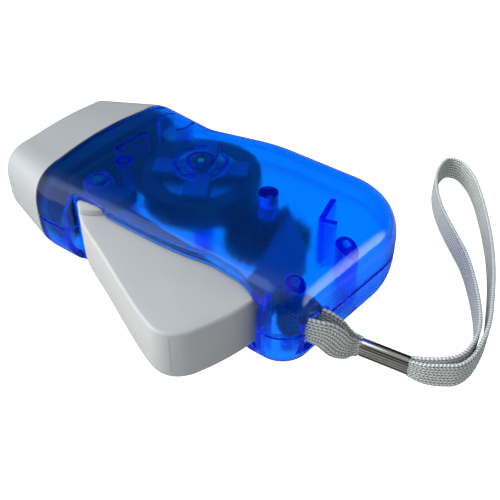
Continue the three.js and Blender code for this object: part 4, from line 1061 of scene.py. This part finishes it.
def standTree():
    tree, start = newTree("copiesOnPoints", ("Copy", "NodeSocketObject"))
    source = tree.nodes.new("GeometryNodeObjectInfo")
    stand = tree.nodes.new("GeometryNodeInstanceOnPoints")
    real = tree.nodes.new("GeometryNodeRealizeInstances")
    wired(tree, (start, "Copy", source, "Object"), (start, "Geometry", stand, "Points"),
          (source, "Geometry", stand, "Instance"), (stand, "Instances", real, "Geometry"))
    return painted(tree, start, real, "Geometry")


trees = {"wire": wireTree(), "tape": tapeTree(), "stand": standTree()}


def grown(piece, tree, name, **values):
    modifier = piece.modifiers.new("grow", "NODES")
    modifier.node_group = tree
    for socket in tree.interface.items_tree:
        if socket.in_out == "INPUT" and socket.name in values:
            modifier[socket.identifier] = values[socket.name]
    mesh = finishedMesh(piece)
    drop(piece)
    return placed(name, mesh)


def line(points):
    curve = bpy.data.curves.new("route", "CURVE")
    curve.dimensions = "3D"
    spline = curve.splines.new("POLY")
    spline.points.add(len(points) - 1)
    for target, point in zip(spline.points, points):
        target.co = (*point, 1)
    return placed("route", curve)


def stretched(route, steps):
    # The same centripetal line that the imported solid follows, in metres
    points = [Vector(p) for p in route]
    out = []
    for i in range(len(points) - 1):
        b, c = points[i], points[i + 1]
        a = points[i - 1] if i else b + (b - c)
        d = points[i + 2] if i + 2 < len(points) else c + (c - b)
        t0, t1, t2 = [max((q - p).length_squared ** 0.25, 1e-4) for p, q in ((a, b), (b, c), (c, d))]
        first = ((b - a) / t0 - (c - a) / (t0 + t1) + (c - b) / t1) * t1
        second = ((c - b) / t1 - (d - b) / (t1 + t2) + (d - c) / t2) * t1
        for j in range(steps):
            t = j / steps
            out.append(b + first * t + (3 * (c - b) - 2 * first - second) * t ** 2
                       + (2 * (b - c) + first + second) * t ** 3)
    return out + [points[-1]]


# Wrist strap: routes of the tape's middle line, in metres
strap = {
    "width": 7.4, "thickness": 1.1, "steps": 8, "edge": 0.5, "pinched": 0.68, "pinchReach": 9,
    "tieSplay": {"near": -0.35, "away": -0.5, "span": 20},
    "loopSplay": {"near": 0, "away": 0.9, "span": 24},
}
tieRoute = [
    (-0.05725, 0.00645, 0.00425), (-0.0562, 0.00695, 0.00435), (-0.0554, 0.0086, 0.0051),
    (-0.0543, 0.0104, 0.00685), (-0.0536, 0.0114, 0.0087), (-0.053, 0.0122, 0.01),
    (-0.0521, 0.0132, 0.0114), (-0.0506, 0.0147, 0.0126), (-0.0486, 0.0159, 0.0132),
    (-0.046, 0.0168, 0.0135), (-0.0431, 0.0172, 0.0136), (-0.0405, 0.0163, 0.0137),
    (-0.0394, 0.0141, 0.0137), (-0.0402, 0.0116, 0.0137), (-0.0425, 0.0104, 0.0136),
    (-0.0452, 0.0106, 0.0135), (-0.0478, 0.011, 0.0131), (-0.0498, 0.0102, 0.0119),
    (-0.0511, 0.0093, 0.0103), (-0.0519, 0.0086, 0.0087), (-0.0528, 0.0078, 0.00685),
    (-0.0541, 0.0065, 0.0051), (-0.0559, 0.0052, 0.00435), (-0.05705, 0.0049, 0.00425),
]
loopRoute = [
    (-0.0694, 0.0046, 0.0042), (-0.073, 0.0038, 0.0041), (-0.0764, 0.0018, 0.004),
    (-0.0793, -0.0006, 0.004), (-0.0806, -0.0042, 0.004), (-0.0804, -0.0109, 0.004),
    (-0.079, -0.0178, 0.004), (-0.0764, -0.025, 0.004), (-0.0727, -0.034, 0.004), (-0.0684, -0.0429, 0.004),
    (-0.0635, -0.0515, 0.004), (-0.0581, -0.0599, 0.004), (-0.0526, -0.0677, 0.004),
    (-0.0473, -0.0735, 0.004), (-0.0422, -0.0766, 0.004), (-0.0391, -0.0755, 0.004),
    (-0.0388, -0.0708, 0.004), (-0.0404, -0.065, 0.004), (-0.0438, -0.0586, 0.004),
    (-0.0484, -0.0525, 0.004), (-0.053, -0.0476, 0.004), (-0.058, -0.0428, 0.004),
    (-0.0625, -0.0384, 0.004), (-0.0664, -0.0337, 0.004), (-0.0722, -0.0254, 0.004),
    (-0.077, -0.0168, 0.004), (-0.0788, -0.0104, 0.004), (-0.079, -0.0048, 0.004),
    (-0.0779, -0.0017, 0.004), (-0.0754, 0.0007, 0.004), (-0.0726, 0.0022, 0.0041),
    (-0.0692, 0.0031, 0.0042),
]
wovenTape = braidMaterial(braidLook, strap["width"])


def lengthOf(points):
    return sum((b - a).length for a, b in zip(points, points[1:]))


def hump(distance, span):
    return math.sin(math.pi * min(distance / span, 1))


def pinched(piece, whole, splay):
    # Both ends gather into the sleeve, and the two layers lean apart outside it
    near, away, span = [splay[key] * mm for key in ("near", "away", "span")]
    mesh = piece.data
    rows = zip(mesh.vertices, mesh.attributes["tapeAlong"].data, mesh.attributes["tapeAcross"].data,
               mesh.attributes["tapeDown"].data)
    for vertex, along, across, down in rows:
        rest = max(0, whole - along.value)
        opened = math.sin(math.pi / 2 * min(min(along.value, rest) / (strap["pinchReach"] * mm), 1))
        gathered = (strap["pinched"] - 1) * (1 - opened)
        raised = near * hump(along.value, span) + away * hump(rest, span)
        vertex.co += Vector(down.vector) * (gathered * across.value - raised)
    return piece


def strapPiece(route, name, node, splay):
    points = stretched(route, strap["steps"])
    piece = grown(line(points), trees["tape"], name, Thickness=strap["thickness"] * mm,
                  Width=strap["width"] * mm, Edge=strap["edge"] * mm, Material=wovenTape)
    piece = pinched(piece, lengthOf(points), splay)
    return dressed(smooth(piece, angle=50), name, "case", "braid", node), points


tie, tiePoints = strapPiece(tieRoute, "strapTie", "strap_tie", strap["tieSplay"])
loop, loopPoints = strapPiece(loopRoute, "strapLoop", "strap_loop", strap["loopSplay"])


# Crimped sleeve with three lengthwise grooves on each wide face
crimp = {
    "front": (-57.1, 5.67, 4.25), "back": (-69.6, 3.83, 4.25), "thickness": 2.8, "width": 5.2, "edge": 1.3,
    "groove": 0.42, "grooves": 3, "grooveSpread": 1.3, "grooveSteps": 8, "facet": 15,
    "ends": [(0, 0.9), (0.15, 0.97), (0.5, 1)],
}


def crimpedSleeve():
    half, tall = crimp["thickness"] / 2, crimp["width"] / 2
    deep, steps = crimp["groove"], crimp["grooveSteps"]
    side = arc((half - crimp["edge"], crimp["edge"] - tall), crimp["edge"], -90, 0, crimp["facet"])
    for i in range(crimp["grooves"]):
        at = (i - (crimp["grooves"] - 1) / 2) * (crimp["width"] - 2 * crimp["edge"]) / crimp["grooves"]
        for j in range(steps + 1):
            t = -1 + 2 * j / steps
            sunk = deep * (1 + math.cos(math.pi * t)) / 2
            side.append((half - sunk, at + deep * crimp["grooveSpread"] * t))
    side += arc((half - crimp["edge"], tall - crimp["edge"]), crimp["edge"], 0, 90, crimp["facet"])
    section = side + [(-x, -y) for x, y in side]
    front, back = Vector(crimp["front"]), Vector(crimp["back"])
    ahead = (front - back).normalized()
    up = Vector((0, 0, 1))
    across = up.cross(ahead)
    length = (front - back).length
    stations = crimp["ends"] + [(length - at, size) for at, size in reversed(crimp["ends"])]
    levels = []
    for at, size in stations:
        levels.append([tuple(back + ahead * at + (across * x + up * y) * size) for x, y in section])
    return rings("sleeve", levels, (chrome,))


sleevePiece = dressed(smooth(crimpedSleeve(), angle=40), "crimpedSleeve", "case", "chromed", "ferrule")
tuple(tiePoints[0])
lengthOf(tiePoints)
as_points(tiePoints)
tuple(loopPoints[0])
lengthOf(loopPoints)
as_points(loopPoints)
print("stage: wrist strap made", round(lengthOf(tiePoints), 4), round(lengthOf(loopPoints), 4))


# Return spring, winding and leads: round wires along their routes
def metres(points):
    return [tuple(v * mm for v in point) for point in points]


def wirePiece(route, name, radius, sides, material):
    piece = grown(line(route), trees["wire"], name, Radius=radius * mm, Sides=sides, Material=material)
    return smooth(piece, angle=60)


spring = {
    "radius": 5.25, "wire": 0.9, "pitch": 1.35, "base": 8, "foot": 290, "end": 1515, "ramp": 14,
    "leg": 11.4, "footBase": 2.9, "footTop": 6.2, "facets": 24, "sides": 12,
}


def springRoute():
    start = spring["foot"] + spring["ramp"]
    turns = (spring["end"] - start) / 360
    foot = polar(pivot, spring["radius"], spring["foot"])
    points = [(*foot, spring["footBase"]), (*foot, spring["footTop"])]
    steps = round(turns * spring["facets"])
    for i in range(steps + 1):
        angle = start + (spring["end"] - start) * i / steps
        level = spring["base"] + spring["pitch"] * turns * i / steps
        points.append((*polar(pivot, spring["radius"], angle), level))
    leg = polar(points[-1], spring["leg"], spring["end"] + 90)
    return metres(points + [(*leg, points[-1][2])])


springCoil = wirePiece(springRoute(), "returnSpring", spring["wire"] / 2, spring["sides"], brightSteel)
dressed(springCoil, "returnSpring", "lever", "steel", "return_spring")

winding = {"turns": 14, "wire": 0.3, "inset": 0.35, "facet": 12, "sides": 8}


def windingRoute():
    low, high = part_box("coil")
    radius = (high.x - low.x) / 2 / mm - winding["inset"]
    rise = (high.z - low.z) / mm - 2 * winding["inset"]
    base = low.z / mm + winding["inset"]
    steps = winding["turns"] * 360 // winding["facet"]
    return metres([(*polar(rotor, radius, i * winding["facet"]), base + rise * i / steps)
                   for i in range(steps + 1)])


coilLayer = wirePiece(windingRoute(), "coilWinding", winding["wire"] / 2, winding["sides"], copper)
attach(coilLayer, "case")

leads = {
    "radius": 0.5, "sides": 14, "steps": 8,
    "routes": [
        [(12.4, -7.6, 9.1), (12.9, -7.2, 8), (16.2, -5.2, 7), (21.6, -3.7, 6.6), (26.7, -3.4, 6.5)],
        [(12, -4.6, 9.1), (12.6, -4.4, 8.3), (16, -3.4, 8.2), (21.6, -3.4, 8.1), (26.7, -3.4, 8.1)],
    ],
}
for number, route in enumerate(leads["routes"], 1):
    points = stretched(metres(route), leads["steps"])
    lead = wirePiece(points, f"lead{number}", leads["radius"], leads["sides"], redLead)
    dressed(lead, f"lead{number}", "case", "wire_red", f"lead_{number}")
print("stage: spring, winding and leads made")


# Screws with crossed recesses, stood on their places
screw = {
    "head": 1.9, "headHeight": 0.9, "crown": 0.85, "crownDepth": 0.25, "shank": 0.9, "core": 0.78,
    "pitch": 0.5, "threadStart": 0.1, "crest": 0.2, "plain": 1, "point": 0.3, "pointLength": 0.2,
    "tip": 0.05, "recess": 0.22, "recessReach": 0.6, "recessDepth": 0.55, "above": -1, "sides": 24,
    "caseLength": 8.1, "bridgeLength": 5,
}


def screwCopy(length, headDown):
    head, base, shank = screw["head"], screw["headHeight"], screw["shank"]
    profile = [(0, 0), (head * screw["crown"], 0), (head, screw["crownDepth"]), (head, base), (shank, base)]
    turns = int(length / screw["pitch"])
    for i in range(turns):
        at = base + screw["threadStart"] + (length - screw["plain"]) * i / turns
        profile += [(shank, at), (shank * screw["core"], at + screw["crest"])]
    end = base + length
    profile += [(shank * screw["point"], end - screw["pointLength"]), (screw["tip"], end), (0, end)]
    piece = turned("screwCopy", profile, steps=screw["sides"])
    reach, half = head * screw["recessReach"], screw["recess"]
    cross = [block((-x, -y, screw["above"]), (x, y, screw["recessDepth"]))
             for x, y in ((reach, half), (half, reach))]
    piece = minus(piece, *cross)
    if not headDown:
        piece.data.transform(Matrix.Rotation(math.pi, 4, "X"))
    return smooth(piece, angle=30)


def stoodOn(places, level, copy, name):
    base = bare("places", [(*place, level) for place in places], [], ())
    made = grown(base, trees["stand"], name, Copy=copy, Material=brightSteel)
    drop(copy)
    return made


caseScrew = screwCopy(screw["caseLength"], True)
dressed(stoodOn(screwPlaces, baseOf("case_screw_1"), caseScrew, "caseScrews"),
        "caseScrews", "case", "steel", "case_screw_1", "case_screw_2", "case_screw_3")
bridgeScrew = screwCopy(screw["bridgeLength"], False)
dressed(stoodOn(bridgePlaces, topOf("bridge_screw_1"), bridgeScrew, "bridgeScrews"),
        "bridgeScrews", "case", "steel", "bridge_screw_1", "bridge_screw_2")
print("stage: screws made")


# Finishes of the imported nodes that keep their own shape
finishes = {
    "led_board": board, "rectifier": blackPlastic, "capacitor": sleeve, "cell_stack": cellSteel,
    "bridge_plate": blackPlastic, "lower_yoke": brightSteel, "upper_yoke": brightSteel, "bobbin": nylon,
    "coil": copper, "flywheel_ring": zinc, "ring_magnet": ferrite, "rotor_spider": nylon,
    "rotor_pinion": nylon, "idler_gear": greyNylon, "ratchet_gear": greyNylon, "pawl_plate": greyNylon,
    "drive_pinion": greyNylon, "axle_bush": blackPlastic, "pivot_pin": dullSteel, "drive_axle": brightSteel,
    "idler_axle": brightSteel, "rotor_axle": brightSteel,
}
for node, material in finishes.items():
    recoloured(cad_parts[node], material)
for form in (outerForm, innerForm):
    drop(form)
print("stage: packed nodes finished")


# Studio: a glowing white table under soft lights from overhead, from the front, and low at the rear
studio = {
    # The table glows to the eye and through clear parts; it is mirrored, and gives light back, more weakly
    "table": 3.0, "tableLevel": -0.02, "surface": (0.09, 0.09, 0.09), "roughness": 0.9,
    "glow": 1.3, "mirrored": 0.06, "bounced": 0.34, "room": 0.015,
    "lights": [
        # direction, cosine where the light begins and where it is full, colour, factor in shiny faces
        ((0.2, 0.3, 0.93), 0.55, 0.97, (1.23, 1.34, 1.45), 0.3),
        ((0.8, 0.58, 0.14), 0.7, 0.98, (4.7, 4.65, 4.4), 0.25),
        ((0.46, 0.27, 0.857), 0.91, 1.0, (0.055, 0.07, 0.09), 24),
        ((-0.85, -0.5, 0.12), 0.87, 1.0, (1.1, 1.2, 1.2), 4),
    ],
    "bounces": 20, "clearLayers": 32,
}


def makeWorld(sizes):
    world = bpy.data.worlds.new("studio")
    world.use_nodes = True
    nodes, links = world.node_tree.nodes, world.node_tree.links

    def vector(operation, *values):
        return mathNode(nodes, links, operation, *values, kind="ShaderNodeVectorMath").outputs

    place = nodes.new("ShaderNodeTexCoord")
    path = nodes.new("ShaderNodeLightPath")
    total = (sizes["room"],) * 3
    for direction, begin, whole, colour, mirrored in sizes["lights"]:
        towards = Vector(direction).normalized()
        glow = nodes.new("ShaderNodeMapRange")
        glow.interpolation_type = "SMOOTHSTEP"
        glow.inputs["From Min"].default_value = begin
        glow.inputs["From Max"].default_value = whole
        links.new(vector("DOT_PRODUCT", place.outputs["Object"], towards)["Value"], glow.inputs["Value"])
        share = spread(nodes, links, path.outputs["Is Glossy Ray"], 1, mirrored, 0, 1)
        strength = worked(nodes, links, "MULTIPLY", glow.outputs["Result"], share)
        total = vector("ADD", vector("MULTIPLY", strength, colour)["Vector"], total)["Vector"]
    # The room looks white to the camera and through clear parts
    seen = [path.outputs["Is Camera Ray"], path.outputs["Is Transmission Ray"]]
    straight = worked(nodes, links, "MAXIMUM", *seen)
    links.new(vector("MAXIMUM", total, straight)["Vector"], nodes["Background"].inputs["Color"])
    scene.world = world


def makeTable(sizes):
    half, level = sizes["table"] / 2 / mm, sizes["tableLevel"]
    corners = [(-half, -half, level), (half, -half, level), (half, half, level), (-half, half, level)]
    material, nodes, links, shader = newMaterial("whiteTable")
    shader.inputs["Base Color"].default_value = (*sizes["surface"], 1)
    shader.inputs["Roughness"].default_value = sizes["roughness"]
    shader.inputs["Emission Color"].default_value = (1, 1, 1, 1)
    path = nodes.new("ShaderNodeLightPath")
    matt = spread(nodes, links, path.outputs["Is Diffuse Ray"], sizes["mirrored"], sizes["bounced"], 0, 1)
    pick = nodes.new("ShaderNodeMix")
    pick.inputs["A"].default_value = sizes["glow"]
    links.new(path.outputs["Is Reflection Ray"], pick.inputs["Factor"])
    links.new(matt, pick.inputs["B"])
    links.new(pick.outputs["Result"], shader.inputs["Emission Strength"])
    bare("table", corners, [(0, 1, 2, 3)], (material,))


makeTable(studio)
makeWorld(studio)
scene.view_settings.view_transform = "Standard"
scene.cycles.max_bounces = studio["bounces"]
scene.cycles.glossy_bounces = studio["bounces"]
scene.cycles.transmission_bounces = studio["bounces"]
scene.cycles.transparent_max_bounces = studio["clearLayers"]
scene.cycles.caustics_reflective = False
scene.cycles.caustics_refractive = False
print("stage: studio made")
